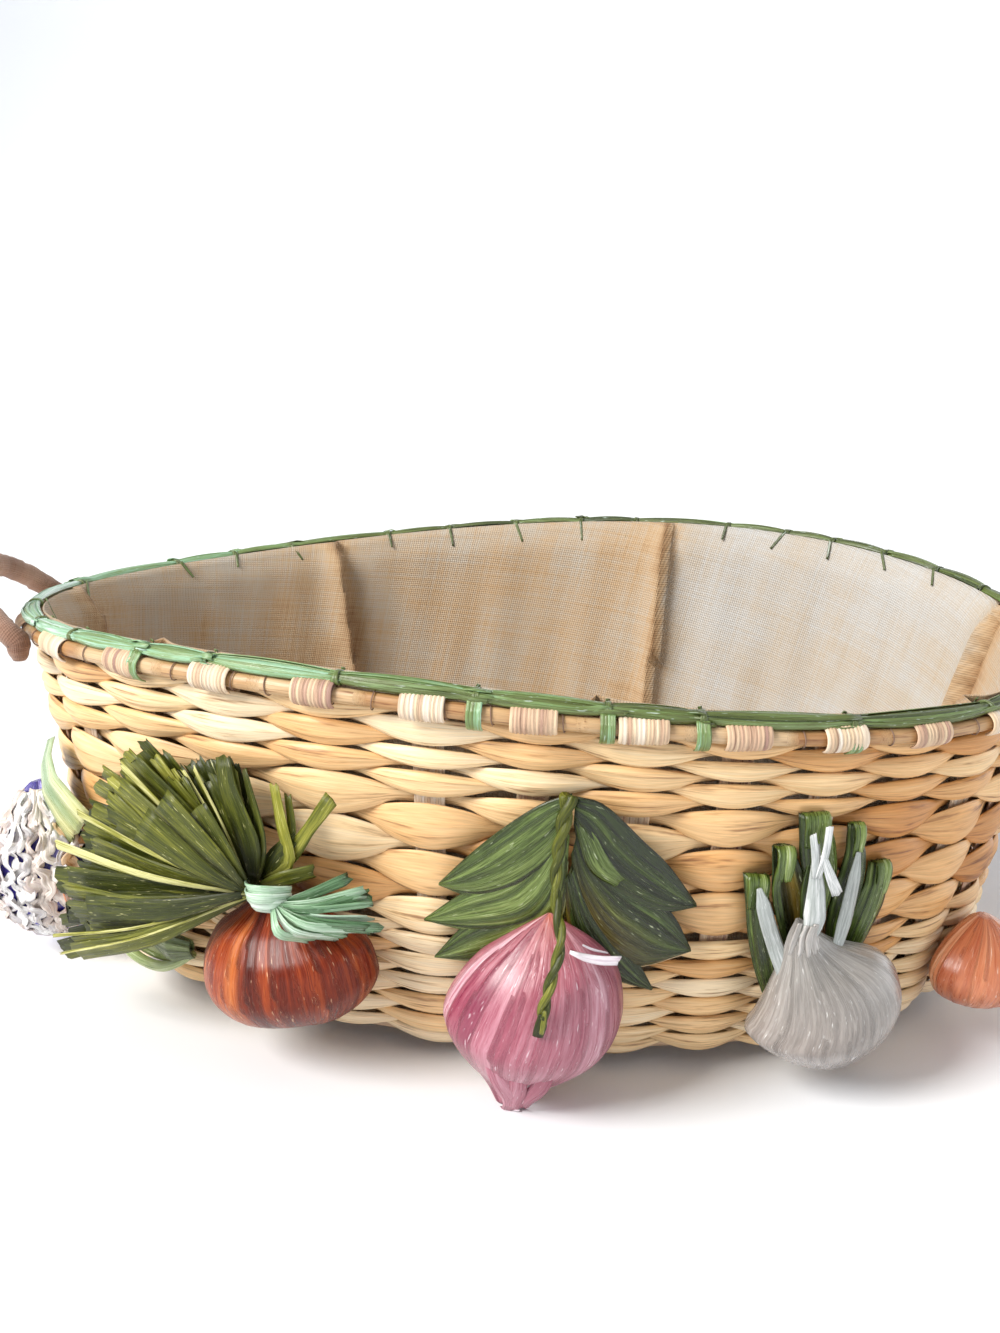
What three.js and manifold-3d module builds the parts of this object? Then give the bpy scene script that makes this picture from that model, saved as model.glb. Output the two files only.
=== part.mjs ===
// A lined oval basket. Flat weavers go in front of and behind a ring of upright stakes, the stakes
// hook over a rim rod, a cloth lining hangs inside, and raffia vegetables are sewn round the wall.
// Millimetres, +Z up. X is the long way and -Y the front. The origin is under the middle of the
// whole basket, handles and vegetables included, on the surface that it stands on.
import * as THREE from 'three';
import Module from 'manifold-3d';
import { mergeVertices } from 'three/addons/utils/BufferGeometryUtils.js';

const wasm = await Module();
wasm.setup();

// The oval and its wall
const footHalfLength = 178;
const footHalfWidth = 106;
const rodHeight = 156.5;
const cornerRadius = 24;
const wallLean = THREE.MathUtils.degToRad(80);
const sideRise = 5.7;
const handTwist = 6.7;
const endTilt = 3.7;

// The weave
const stakeCount = 28;
const stakeWidth = 11.5;
const stakeFootWidth = 8;
const stakeThickness = 2.4;
const stakePhase = -0.3;
const stakeDrift = 0.023;
const driftTurn = THREE.MathUtils.degToRad(74);
const weaverThickness = 2.6;
const weaveGap = 0.4;
const edgeGap = 0.1;
const lowRows = 12;
const wideRows = 6;
const wideCourse = 10.1;
const fineRows = 6;
const fineCourse = 5.4;

// The base and the hoop that the stakes start from
const baseThickness = 8.6;
const baseTurnUp = THREE.MathUtils.degToRad(30);
const hoopWidth = 4;
const hoopThickness = 3.6;

// The rim
const rodRadius = 3.3;
const edgingWidth = 6;
const edgingHeight = 3.4;

// The lining
const clothThickness = 1.2;
const clothGap = 0.3;
const panelCount = 7;
const firstFold = THREE.MathUtils.degToRad(23);
const stepsPerPanel = 7;
const foldDepth = 5;
const foldLean = -0.04;

// The end handles
const handleRise = 34;
const handleOutswing = 30;
const handleRadius = 5.5;
const handleStakes = 2;
const legLength = 8;
const legPress = 0.2;

// The raffia vegetables. Each is sewn on at an angle round the oval, with its middle at a height.
// width, height and depth are its own, tilt leans its top along the wall, and a smaller rise puts
// its widest part lower down.
const pinkOnion = { at: 276.4, up: 43, width: 69, height: 76, depth: 42, tilt: -4, rise: 0.86 };
const brownOnion = { at: 247.8, up: 47, width: 68, height: 55, depth: 42, tilt: 22, rise: 0.86 };
const garlicBulb = { at: 310.3, up: 40, width: 61, height: 56, depth: 40, tilt: 18, rise: 0.55 };
const orangeGourd = { at: 337.5, up: 38, width: 52, height: 46, depth: 38, tilt: 0, rise: 0.86 };
const violetBody = { at: 199, up: 47, width: 44, height: 76, depth: 44, tilt: -6, rise: 0.86 };
const leafFanReach = 76;
const leafFanRise = 85;
const tuftReach = 86;
const tuftFade = 0.42;
const tuftThickness = 8;
const leafThickness = 2;
const bowReach = 34;
const bowWidth = 10;
const cordRadius = 2;
const loopLeafWidth = 9;
const beadRadius = 4.5;
const podLength = 48;
const podAt = 222;

const seatGap = 0.4;
const sewnGap = 0.5;

const straw = { color: 0xd9b277, roughness: 0.62, metalness: 0 };
const strawPale = { color: 0xe6cfa1, roughness: 0.6, metalness: 0 };
const fibre = { color: 0xc8a68f, roughness: 0.8, metalness: 0 };
const cloth = { color: 0xd9c2a0, roughness: 0.9, metalness: 0 };
const mossGreen = { color: 0x62702c, roughness: 0.5, metalness: 0 };
const mintGreen = { color: 0x86b58a, roughness: 0.5, metalness: 0 };
const leafGreen = { color: 0x4d6a2c, roughness: 0.45, metalness: 0 };
const skinBrown = { color: 0xa24a26, roughness: 0.35, metalness: 0 };
const skinPink = { color: 0xc07a84, roughness: 0.35, metalness: 0 };
const skinWhite = { color: 0xd9d2c6, roughness: 0.35, metalness: 0 };
const skinOrange = { color: 0xd98a5e, roughness: 0.4, metalness: 0 };
const skinViolet = { color: 0x5a4a9c, roughness: 0.4, metalness: 0 };

const basket = new THREE.Group();

// Meshes

function facesOut(geometry) {
  const at = geometry.getAttribute('position');
  const index = geometry.getIndex().array;
  const corner = (i) => new THREE.Vector3().fromBufferAttribute(at, i);
  let volume = 0;
  for (let i = 0; i < index.length; i += 3) {
    volume += corner(index[i]).dot(corner(index[i + 1]).cross(corner(index[i + 2])));
  }
  if (volume < 0) index.reverse();
  return geometry;
}

// A closed skin over a row of equal rings of points. A loop joins its last ring to its first,
// and anything else is capped with a fan at each end.
function skin(rings, loop = false) {
  const sides = rings[0].length;
  const index = [];
  const joins = loop ? rings.length : rings.length - 1;
  for (let i = 0; i < joins; i++) {
    const here = i * sides;
    const next = ((i + 1) % rings.length) * sides;
    for (let j = 0; j < sides; j++) {
      const k = (j + 1) % sides;
      index.push(here + j, here + k, next + k, here + j, next + k, next + j);
    }
  }
  if (!loop) {
    const last = (rings.length - 1) * sides;
    for (let j = 1; j < sides - 1; j++) {
      index.push(0, j + 1, j, last, last + j, last + j + 1);
    }
  }
  const geometry = new THREE.BufferGeometry();
  const positions = rings.flat().flatMap((p) => [p.x, p.y, p.z]);
  geometry.setAttribute('position', new THREE.Float32BufferAttribute(positions, 3));
  geometry.setIndex(index);
  return facesOut(geometry);
}

function toSolid(geometry) {
  const bare = geometry.clone();
  bare.deleteAttribute('normal');
  bare.deleteAttribute('uv');
  const merged = mergeVertices(bare, 1e-4);
  return new wasm.Manifold(new wasm.Mesh({
    numProp: 3,
    vertProperties: new Float32Array(merged.getAttribute('position').array),
    triVerts: new Uint32Array(merged.getIndex().array),
  }));
}

function fromSolid(solid) {
  const mesh = solid.getMesh();
  const geometry = new THREE.BufferGeometry();
  geometry.setAttribute('position', new THREE.BufferAttribute(mesh.vertProperties, 3));
  geometry.setIndex(new THREE.BufferAttribute(mesh.triVerts, 1));
  return geometry;
}

function addPiece(name, geometry, finish, parent = basket) {
  geometry.computeVertexNormals();
  const mesh = new THREE.Mesh(geometry, new THREE.MeshStandardMaterial(finish));
  mesh.name = name;
  parent.add(mesh);
  return mesh;
}

// The wall as a surface. turn runs round the oval, along runs up the wall from the foot, and out is
// the distance outside the middle of the wall's thickness.

const footPlane = baseThickness / 2;
const arcLength = cornerRadius * wallLean;
const arcTop = footPlane + cornerRadius * (1 - Math.cos(wallLean));
const straightLength = (rodHeight - arcTop) / Math.sin(wallLean);
const rodAlong = arcLength + straightLength;

const rimRise = (turn) => -sideRise * Math.cos(2 * turn) + handTwist * Math.sin(2 * turn)
  + endTilt * Math.cos(turn);

function outward(turn) {
  return new THREE.Vector3(
    Math.cos(turn) / footHalfLength,
    Math.sin(turn) / footHalfWidth,
    0,
  ).normalize();
}

function onWall(turn, along, out = 0) {
  const bend = THREE.MathUtils.clamp(along / cornerRadius, 0, wallLean);
  const reach = Math.max(0, along - arcLength);
  const stretch = 1 + rimRise(turn) / (rodHeight - arcTop);
  const aside = cornerRadius * Math.sin(bend) + reach * Math.cos(wallLean) + out * Math.sin(bend);
  const up = footPlane + cornerRadius * (1 - Math.cos(bend))
    + reach * Math.sin(wallLean) * stretch - out * Math.cos(bend);
  const foot = new THREE.Vector3(
    footHalfLength * Math.cos(turn),
    footHalfWidth * Math.sin(turn),
    up,
  );
  return foot.addScaledVector(outward(turn), aside);
}

// Places round the wall, two for each stake: the stake and the crossing after it. They are spaced by
// eye along the wall at half its height, a little closer on one side than on the other.
function handSpacedTurns(count) {
  const steps = 2880;
  const lengths = [0];
  for (let i = 1; i <= steps; i++) {
    const a = onWall((2 * Math.PI * (i - 1)) / steps, rodAlong / 2);
    const b = onWall((2 * Math.PI * i) / steps, rodAlong / 2);
    lengths.push(lengths[i - 1] + Math.hypot(b.x - a.x, b.y - a.y));
  }
  const turnAt = (share) => {
    const laps = Math.floor(share);
    const target = (share - laps) * lengths[steps];
    const next = lengths.findIndex((length) => length > target);
    const part = (target - lengths[next - 1]) / (lengths[next] - lengths[next - 1]);
    return 2 * Math.PI * (laps + (next - 1 + part) / steps);
  };
  return Array.from({ length: count }, (_, i) => {
    const drift = stakeDrift * Math.cos((2 * Math.PI * i) / count - driftTurn);
    return turnAt((i + stakePhase) / count - drift);
  });
}

const places = handSpacedTurns(2 * stakeCount);
const stakeTurns = places.filter((turn, i) => i % 2 === 0);

// The weavers

const baseEdge = cornerRadius * baseTurnUp;
const hoopAlong = baseEdge + weaveGap + hoopWidth / 2;
const weaveStart = hoopAlong + hoopWidth / 2;
const weaveEnd = rodAlong - rodRadius;
const lowCourse = (weaveEnd - weaveStart - wideRows * wideCourse - fineRows * fineCourse) / lowRows;
const courses = [
  ...Array(lowRows).fill(lowCourse),
  ...Array(wideRows).fill(wideCourse),
  ...Array(fineRows).fill(fineCourse),
];
const courseStarts = courses.map((c, i) => weaveStart
  + courses.slice(0, i).reduce((sum, height) => sum + height, 0));

// How far a flat weaver's back bows away from the curved stake behind it
function backBow(row) {
  const height = 2 * courses[row];
  const curved = THREE.MathUtils.clamp((arcLength - courseStarts[row] + height / 4) / height, 0, 1);
  return (curved * height * height) / (8 * cornerRadius);
}

// A stake widens from its foot to the top of the wall's bend
function stakeWidthAt(along) {
  const part = THREE.MathUtils.clamp((along - hoopAlong) / (arcLength - hoopAlong), 0, 1);
  return THREE.MathUtils.lerp(stakeFootWidth, stakeWidth, part);
}

// How far a weaver must sway to clear both edges of every stake where it runs straight from the
// stake to the crossing beside it
function edgeSway(row) {
  const along = courseStarts[row] + courses[row] / 2;
  const needs = stakeTurns.flatMap((turn, i) => [2 * i - 1, 2 * i + 1].map((crossing) => {
    const beside = places[(crossing + places.length) % places.length];
    const run = onWall(beside, along).sub(onWall(turn, along));
    const drop = -run.dot(outward(turn));
    const part = stakeWidthAt(along) / 2 / Math.sqrt(run.lengthSq() - drop * drop);
    return (weaverThickness / 2 + drop * part + edgeGap) / (1 - part);
  }));
  return Math.max(...needs);
}

function sway(row) {
  const flat = (stakeThickness + weaverThickness) / 2 + weaveGap;
  return Math.max(flat, edgeSway(row)) + backBow(row);
}

// A weaver is narrow where it crosses between two stakes and spreads over its neighbours'
// crossings where it floats past a stake, by no more than half its own course on either side. side
// goes from -1 behind a stake to 1 in front of one.
function weaverBand(row, side) {
  const spread = Math.abs(side) / 2;
  const over = (neighbour) => Math.min(courses[row], courses[neighbour] ?? 0) * spread;
  const below = over(row - 1);
  const above = over(row + 1);
  const low = courseStarts[row] - below + weaveGap / 2;
  const high = courseStarts[row] + courses[row] + above - weaveGap / 2;
  return { low, high, back: side * sway(row) - weaverThickness / 2 };
}

function weaverSection(row, turn, side) {
  const { low, high, back } = weaverBand(row, side);
  return [
    onWall(turn, low, back),
    onWall(turn, high, back),
    onWall(turn, (low + high) / 2, back + weaverThickness),
  ];
}

const sideAt = (stakeNumber, row) => ((stakeNumber + row) % 2 === 0 ? 1 : -1);

courses.forEach((course, row) => {
  const rings = places.map((turn, i) => weaverSection(row, turn, i % 2 ? 0 : sideAt(i / 2, row)));
  const name = `weaver_${String(row + 1).padStart(2, '0')}`;
  addPiece(name, skin(rings, true), row % 2 ? strawPale : straw);
});

// The stakes rise from a hoop at the edge of the base, pass between the weavers and hook over the rod

const hookTurn = Math.PI / 3;
const hookRadius = (rodRadius + seatGap + stakeThickness / 2) / Math.cos(hookTurn / 2);

function stakeSection(turn, along, out, lift) {
  const across = outward(turn).cross(new THREE.Vector3(0, 0, 1));
  const middle = onWall(turn, along, out);
  const face = onWall(turn, along + (lift.along * stakeThickness) / 2,
    out + (lift.out * stakeThickness) / 2);
  const half = stakeWidthAt(along) / 2;
  return [
    middle.clone().addScaledVector(across, half),
    face,
    middle.clone().addScaledVector(across, -half),
    middle.clone().multiplyScalar(2).sub(face),
  ];
}

function stake(turn) {
  const rings = [];
  const bends = 3;
  for (let i = 0; i <= bends; i++) {
    const along = THREE.MathUtils.lerp(hoopAlong, arcLength, i / bends);
    rings.push(stakeSection(turn, along, 0, { along: 0, out: 1 }));
  }
  for (let angle = Math.PI; angle > -hookTurn * 1.2; angle -= hookTurn) {
    const lift = { along: -Math.sin(angle), out: -Math.cos(angle) };
    rings.push(stakeSection(
      turn,
      rodAlong - hookRadius * lift.along,
      hookRadius - hookRadius * lift.out,
      lift,
    ));
  }
  return skin(rings);
}

function hoop() {
  const half = hoopWidth / 2;
  const thick = hoopThickness / 2;
  return skin(places.map((turn) => [
    onWall(turn, hoopAlong - half, 0),
    onWall(turn, hoopAlong, thick),
    onWall(turn, hoopAlong + half, 0),
    onWall(turn, hoopAlong, -thick),
  ]), true);
}

let stakeFrame = toSolid(hoop());
for (const turn of stakeTurns) {
  stakeFrame = stakeFrame.add(toSolid(stake(turn)));
}
addPiece('stake_frame', fromSolid(stakeFrame), fibre);

// The base is a flat woven pad whose edge turns up to meet the hoop

function ovalRing(along, out) {
  return places.map((turn) => onWall(turn, along, out));
}

function basePad() {
  const half = baseThickness / 2;
  return skin([
    ovalRing(0, half),
    ovalRing(baseEdge / 2, half),
    ovalRing(baseEdge, half),
    ovalRing(baseEdge, -half),
    ovalRing(0, -half),
  ]);
}

addPiece('base_pad', basePad(), straw);

// The rim rod lies outside the wall under the hooked stake ends, and the raffia edging lies on them

const rodOut = hookRadius;

function rimRod() {
  const sides = 6;
  return skin(places.map((turn) => Array.from({ length: sides }, (_, i) => {
    const angle = (2 * Math.PI * i) / sides;
    return onWall(
      turn,
      rodAlong + rodRadius * Math.sin(angle),
      rodOut + rodRadius * Math.cos(angle),
    );
  })), true);
}

addPiece('rim_rod', rimRod(), straw);

const hookTop = rodAlong + rodRadius + seatGap + stakeThickness;

function rimEdging() {
  const low = hookTop + seatGap;
  return skin(places.map((turn, i) => {
    const swell = i % 2 ? 1 : 0.8;
    const half = (edgingWidth / 2) * swell;
    const height = edgingHeight * swell;
    const middle = rodOut / 2;
    return [
      onWall(turn, low, middle - half),
      onWall(turn, low, middle + half),
      onWall(turn, low + height * 0.7, middle + half),
      onWall(turn, low + height, middle),
      onWall(turn, low + height * 0.7, middle - half),
    ];
  }), true);
}

addPiece('rim_edging', rimEdging(), mossGreen);

// The lining is one sheet laid in leaning panels, each lapping over the next. It follows the inside
// of the wall down and covers the base.

const innerFace = sway(lowRows) + weaverThickness / 2;
const deepestSway = Math.max(...courses.map((course, row) => sway(row)));
const liningOut = deepestSway + weaverThickness / 2 + clothGap;

function lining() {
  const turns = Array.from(
    { length: panelCount * stepsPerPanel },
    (_, i) => firstFold + (2 * Math.PI * i) / (panelCount * stepsPerPanel),
  );
  const rows = [
    { along: 0, fold: 0.1, clear: baseThickness / 2 + clothGap },
    { along: arcLength * 0.5, fold: 0.5, clear: liningOut },
    { along: arcLength, fold: 1, clear: liningOut },
    { along: (arcLength + rodAlong) / 2, fold: 1, clear: liningOut },
    { along: rodAlong - 4, fold: 0.7, clear: liningOut },
    { along: hookTop, fold: 0.3, clear: stakeThickness / 2 + clothGap },
  ];
  const sheet = (back) => rows.map((row) => turns.map((turn, i) => {
    const part = (i % stepsPerPanel) / stepsPerPanel;
    const fall = foldDepth * row.fold * (1 - part);
    const lean = foldLean * (row.along / rodAlong);
    return onWall(turn + lean, row.along, -(row.clear + fall + (back ? 0 : clothThickness)));
  }));
  const outside = sheet(true);
  const inside = sheet(false).reverse();
  const middle = (ring) => ring.map((p) => new THREE.Vector3(p.x * 0.4, p.y * 0.4, p.z));
  return skin([middle(outside[0]), ...outside, ...inside, middle(inside[inside.length - 1])]);
}

addPiece('lining', lining(), cloth);

// A padded roll arches out over each end, its legs sewn against the rod between two stakes

function handle(legTurns) {
  const legOut = rodOut + rodRadius + handleRadius - legPress;
  const [from, to] = legTurns.map((turn) => onWall(turn, rodAlong, legOut));
  const middle = from.clone().add(to).multiplyScalar(0.5);
  const along = to.clone().sub(from).multiplyScalar(0.5);
  const aside = new THREE.Vector3(Math.sign(middle.x), 0, 0);
  const up = new THREE.Vector3(0, 0, 1);
  const steps = 12;
  const sides = 6;
  const ring = (angle, drop) => {
    const centre = middle.clone()
      .addScaledVector(along, -Math.cos(angle))
      .addScaledVector(up, handleRise * Math.sin(angle) - drop)
      .addScaledVector(aside, handleOutswing * Math.sin(angle));
    const ahead = along.clone().multiplyScalar(Math.sin(angle))
      .addScaledVector(up, handleRise * Math.cos(angle)).normalize();
    const across = ahead.clone().cross(aside).normalize();
    return Array.from({ length: sides }, (_, j) => {
      const spin = (2 * Math.PI * j) / sides;
      return centre.clone()
        .addScaledVector(across, handleRadius * Math.sin(spin))
        .addScaledVector(aside, handleRadius * Math.cos(spin));
    });
  };
  const arch = Array.from({ length: steps + 1 }, (_, i) => ring((Math.PI * i) / steps, 0));
  return skin([ring(0, legLength), ...arch, ring(Math.PI, legLength)]);
}

// The crossings between stakes on either side of one end of the oval
function legPlaces(endPlace) {
  const wrap = (i) => places[(i + places.length) % places.length];
  const middle = endPlace - (endPlace % 2) + (handleStakes % 2 ? 0 : 1);
  return [wrap(middle - handleStakes), wrap(middle + handleStakes)];
}

const leftEnd = places.findIndex((turn) => turn > Math.PI);
addPiece('handle_left', handle(legPlaces(leftEnd)), cloth);
addPiece('handle_right', handle(legPlaces(0)), cloth);

// Each vegetable is made on a plane that lies against the weave at its place on the wall: x along
// the wall, y up it and z away from it, with the vegetable's middle at the origin.

function sewnOn({ at, up }) {
  const turn = THREE.MathUtils.degToRad(at);
  const stretch = 1 + rimRise(turn) / (rodHeight - arcTop);
  const along = arcLength + (up - arcTop) / (Math.sin(wallLean) * stretch);
  const upward = onWall(turn, along + 1).sub(onWall(turn, along)).normalize();
  const away = outward(turn).projectOnPlane(upward).normalize();
  const side = upward.clone().cross(away);
  const plane = new THREE.Group();
  plane.matrix.makeBasis(side, upward, away);
  plane.matrix.setPosition(onWall(turn, along, innerFace));
  plane.matrix.decompose(plane.position, plane.quaternion, plane.scale);
  basket.add(plane);
  return plane;
}

// Where a point lies on the wall: the nearest place on the foot oval, then the nearest on the profile
function wallPlace(point) {
  let turn = Math.atan2(point.y / footHalfWidth, point.x / footHalfLength);
  for (let i = 0; i < 8; i++) {
    const x = footHalfLength * Math.cos(turn);
    const y = footHalfWidth * Math.sin(turn);
    const dx = -footHalfLength * Math.sin(turn);
    const dy = footHalfWidth * Math.cos(turn);
    const slope = (x - point.x) * dx + (y - point.y) * dy;
    turn -= slope / (dx * dx + dy * dy - (x - point.x) * x - (y - point.y) * y);
  }
  const aside = (point.x - footHalfLength * Math.cos(turn)) * outward(turn).x
    + (point.y - footHalfWidth * Math.sin(turn)) * outward(turn).y;
  const stretch = 1 + rimRise(turn) / (rodHeight - arcTop);
  const over = (point.z - arcTop) / (point.z > arcTop ? stretch : 1);
  const beside = aside - cornerRadius * Math.sin(wallLean);
  const reach = beside * Math.cos(wallLean) + over * Math.sin(wallLean);
  if (reach > 0) {
    const out = beside * Math.sin(wallLean) - over * Math.cos(wallLean);
    return { turn, along: arcLength + reach, out };
  }
  const drop = footPlane + cornerRadius - point.z;
  const bend = Math.max(0, Math.atan2(aside, drop));
  return { turn, along: cornerRadius * bend, out: Math.hypot(aside, drop) - cornerRadius };
}

// How far out the weave stands at a place on the wall
function weaveFaceAt(turn, along) {
  if (along < weaveStart) return baseThickness / 2;
  if (along > weaveEnd) return rodOut + rodRadius;
  const round = 2 * Math.PI;
  const from = (turn - places[0] + 2 * round) % round;
  const gaps = [...places.slice(1), places[0] + round].map((next) => next - places[0]);
  const i = gaps.findIndex((next) => from < next);
  const start = i === 0 ? 0 : gaps[i - 1];
  const part = (from - start) / (gaps[i] - start);
  const [stakeNumber, near] = i % 2 ? [(i + 1) / 2, part] : [i / 2, 1 - part];
  const faces = courses.map((course, row) => {
    const { low, high, back } = weaverBand(row, near * sideAt(stakeNumber, row));
    const off = Math.abs(along - (low + high) / 2) / ((high - low) / 2);
    return off > 1 ? back : back + weaverThickness * (1 - off);
  });
  return Math.max(...faces.filter((face, row) => Math.abs(courseStarts[row] - along)
    < 2 * courses[row]));
}

// Points spread over every face of a mesh, in the frame of the basket
function facePoints(mesh) {
  const at = mesh.geometry.getAttribute('position');
  const index = mesh.geometry.getIndex().array;
  const fine = 5;
  const points = [];
  for (let i = 0; i < index.length; i += 3) {
    const [a, b, c] = [0, 1, 2].map((j) => new THREE.Vector3()
      .fromBufferAttribute(at, index[i + j]).applyMatrix4(mesh.matrixWorld));
    for (let j = 0; j <= fine; j++) {
      for (let k = 0; k <= fine - j; k++) {
        points.push(a.clone().multiplyScalar(j / fine).addScaledVector(b, k / fine)
          .addScaledVector(c, (fine - j - k) / fine));
      }
    }
  }
  return points;
}

// Slides a piece along its plane's z until it lies a sewn gap off the weave
function seatOnWeave(mesh) {
  for (let pass = 0; pass < 4; pass++) {
    mesh.updateWorldMatrix(true, false);
    const gaps = facePoints(mesh).map((point) => {
      const { turn, along, out } = wallPlace(point);
      return out - weaveFaceAt(turn, along);
    });
    mesh.position.z -= gaps.reduce((least, gap) => Math.min(least, gap)) - sewnGap;
  }
  return mesh;
}

// A bulb is widest low down and draws in to a neck at the top and a point below
const bulbSwell = 0.72;
const neckRadius = 4;

function bulbRadius(bulb, y) {
  const part = THREE.MathUtils.clamp(y / bulb.height + 0.5, 0, 1);
  const body = Math.sin(Math.PI * part ** bulb.rise) ** bulbSwell;
  return (bulb.width / 2) * body + neckRadius * part ** 3 * (1 - body);
}

function bulbShape(bulb) {
  const steps = 8;
  const profile = Array.from({ length: steps + 1 }, (_, i) => {
    const y = bulb.height * (i / steps - 0.5);
    return new THREE.Vector2(i === 0 ? 0 : bulbRadius(bulb, y), y);
  });
  profile.push(new THREE.Vector2(0, bulb.height / 2));
  const shape = new THREE.LatheGeometry(profile, 12);
  shape.scale(1, 1, bulb.depth / bulb.width);
  shape.rotateZ(THREE.MathUtils.degToRad(bulb.tilt));
  shape.translate(0, 0, bulb.depth / 2);
  return fromSolid(toSolid(shape));
}

// A fan of leaves with notched ends, spread between two angles from straight up. Its leaves get
// shorter from the first angle to the last by the fade.
function fanShape({ from, to, tips, reach, fade, notch, thickness }) {
  const outline = new THREE.Shape();
  outline.moveTo(0, 0);
  for (let i = 0; i <= 2 * tips; i++) {
    const angle = THREE.MathUtils.degToRad(THREE.MathUtils.lerp(from, to, i / (2 * tips)));
    const length = reach * (1 - (fade * i) / (2 * tips)) * (i % 2 ? 1 : notch);
    outline.lineTo(length * Math.sin(angle), length * Math.cos(angle));
  }
  outline.closePath();
  const shape = new THREE.ExtrudeGeometry(outline, { depth: thickness, bevelEnabled: false });
  return fromSolid(toSolid(shape));
}

// A round strand through points, with a radius for each
function strand(points, radii, sides = 5) {
  const curve = new THREE.CatmullRomCurve3(points);
  const steps = radii.length - 1;
  return skin(radii.map((radius, i) => {
    const centre = curve.getPoint(i / steps);
    const ahead = curve.getTangent(i / steps);
    const across = new THREE.Vector3(0, 0, 1).projectOnPlane(ahead).normalize();
    const over = ahead.clone().cross(across);
    return Array.from({ length: sides }, (_, j) => {
      const spin = (2 * Math.PI * j) / sides;
      return centre.clone()
        .addScaledVector(across, radius * Math.cos(spin))
        .addScaledVector(over, radius * Math.sin(spin));
    });
  }));
}

// A slim doubled leaf that leans from straight up by an angle and starts a way off from its tie
function loopLeaf({ lean, start, reach, width, thickness }) {
  const angle = THREE.MathUtils.degToRad(lean);
  const ahead = new THREE.Vector3(Math.sin(angle), Math.cos(angle), 0);
  const over = new THREE.Vector3(ahead.y, -ahead.x, 0);
  const spans = [[0, 0.3], [0.3, 0.9], [0.8, 1], [1, 0.4]];
  return skin(spans.map(([part, swell]) => {
    const middle = ahead.clone().multiplyScalar(start + reach * part);
    const half = (width / 2) * swell;
    return [
      middle.clone().addScaledVector(over, half),
      middle.clone().addScaledVector(over, half).setZ(thickness),
      middle.clone().addScaledVector(over, -half).setZ(thickness),
      middle.clone().addScaledVector(over, -half),
    ];
  }));
}

// The pink onion under its two leaf fans, with the stem cord from the fans' top over its front

const pinkPlane = sewnOn(pinkOnion);
const pinkBulb = seatOnWeave(addPiece('pink_onion', bulbShape(pinkOnion), skinPink, pinkPlane));
const fanTop = new THREE.Vector3(9, leafFanRise, 0);
const fanFaces = [];
const fans = { leaf_fan_left: [186, 228], leaf_fan_right: [132, 174] };
for (const [name, [from, to]] of Object.entries(fans)) {
  const spread = { from, to, tips: 4, reach: leafFanReach, fade: 0, notch: 0.82 };
  const shape = fanShape({ ...spread, thickness: leafThickness });
  const fan = addPiece(name, shape, leafGreen, pinkPlane);
  fan.position.copy(fanTop);
  fanFaces.push(seatOnWeave(fan).position.z + leafThickness);
}

function stemCord() {
  const standOff = cordRadius + seatGap;
  const onFans = Math.max(...fanFaces) + standOff;
  const middle = pinkBulb.position.z + pinkOnion.depth / 2;
  const overBulb = [0.5, 0.32, 0.14, -0.04, -0.16].map((part) => {
    const y = part * pinkOnion.height;
    const front = bulbRadius(pinkOnion, y) * (pinkOnion.depth / pinkOnion.width);
    return new THREE.Vector3(fanTop.x * (part + 0.2), y, middle + front + standOff);
  });
  return strand([
    new THREE.Vector3(fanTop.x, fanTop.y - leafFanReach * 0.1, onFans),
    new THREE.Vector3(fanTop.x, fanTop.y - leafFanReach * 0.3, onFans),
    ...overBulb,
  ], Array(14).fill(cordRadius));
}

addPiece('stem_cord', stemCord(), mossGreen, pinkPlane);

// The brown onion, its cut ribbon tuft and the bow at its neck

const brownPlane = sewnOn(brownOnion);
seatOnWeave(addPiece('brown_onion', bulbShape(brownOnion), skinBrown, brownPlane));
const brownNeck = new THREE.Vector3(0, brownOnion.height / 2 + 3 * sewnGap, 0)
  .applyAxisAngle(new THREE.Vector3(0, 0, 1), THREE.MathUtils.degToRad(brownOnion.tilt));
const tuft = { from: -102, to: 40, tips: 9, reach: tuftReach, fade: tuftFade, notch: 0.86 };
const tuftShape = fanShape({ ...tuft, thickness: tuftThickness });
const tuftPiece = addPiece('onion_tuft', tuftShape, mossGreen, brownPlane);
tuftPiece.position.copy(brownNeck);
seatOnWeave(tuftPiece);
const bowLeans = { bow_left: 58, bow_right: 100 };
for (const [name, lean] of Object.entries(bowLeans)) {
  const lobe = loopLeaf({
    lean,
    start: bowWidth * 0.6,
    reach: bowReach,
    width: bowWidth,
    thickness: leafThickness * 2,
  });
  const piece = addPiece(name, lobe, mintGreen, brownPlane);
  piece.position.copy(brownNeck);
  seatOnWeave(piece);
}

// The garlic with its looped leaves and two white sprouts

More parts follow.
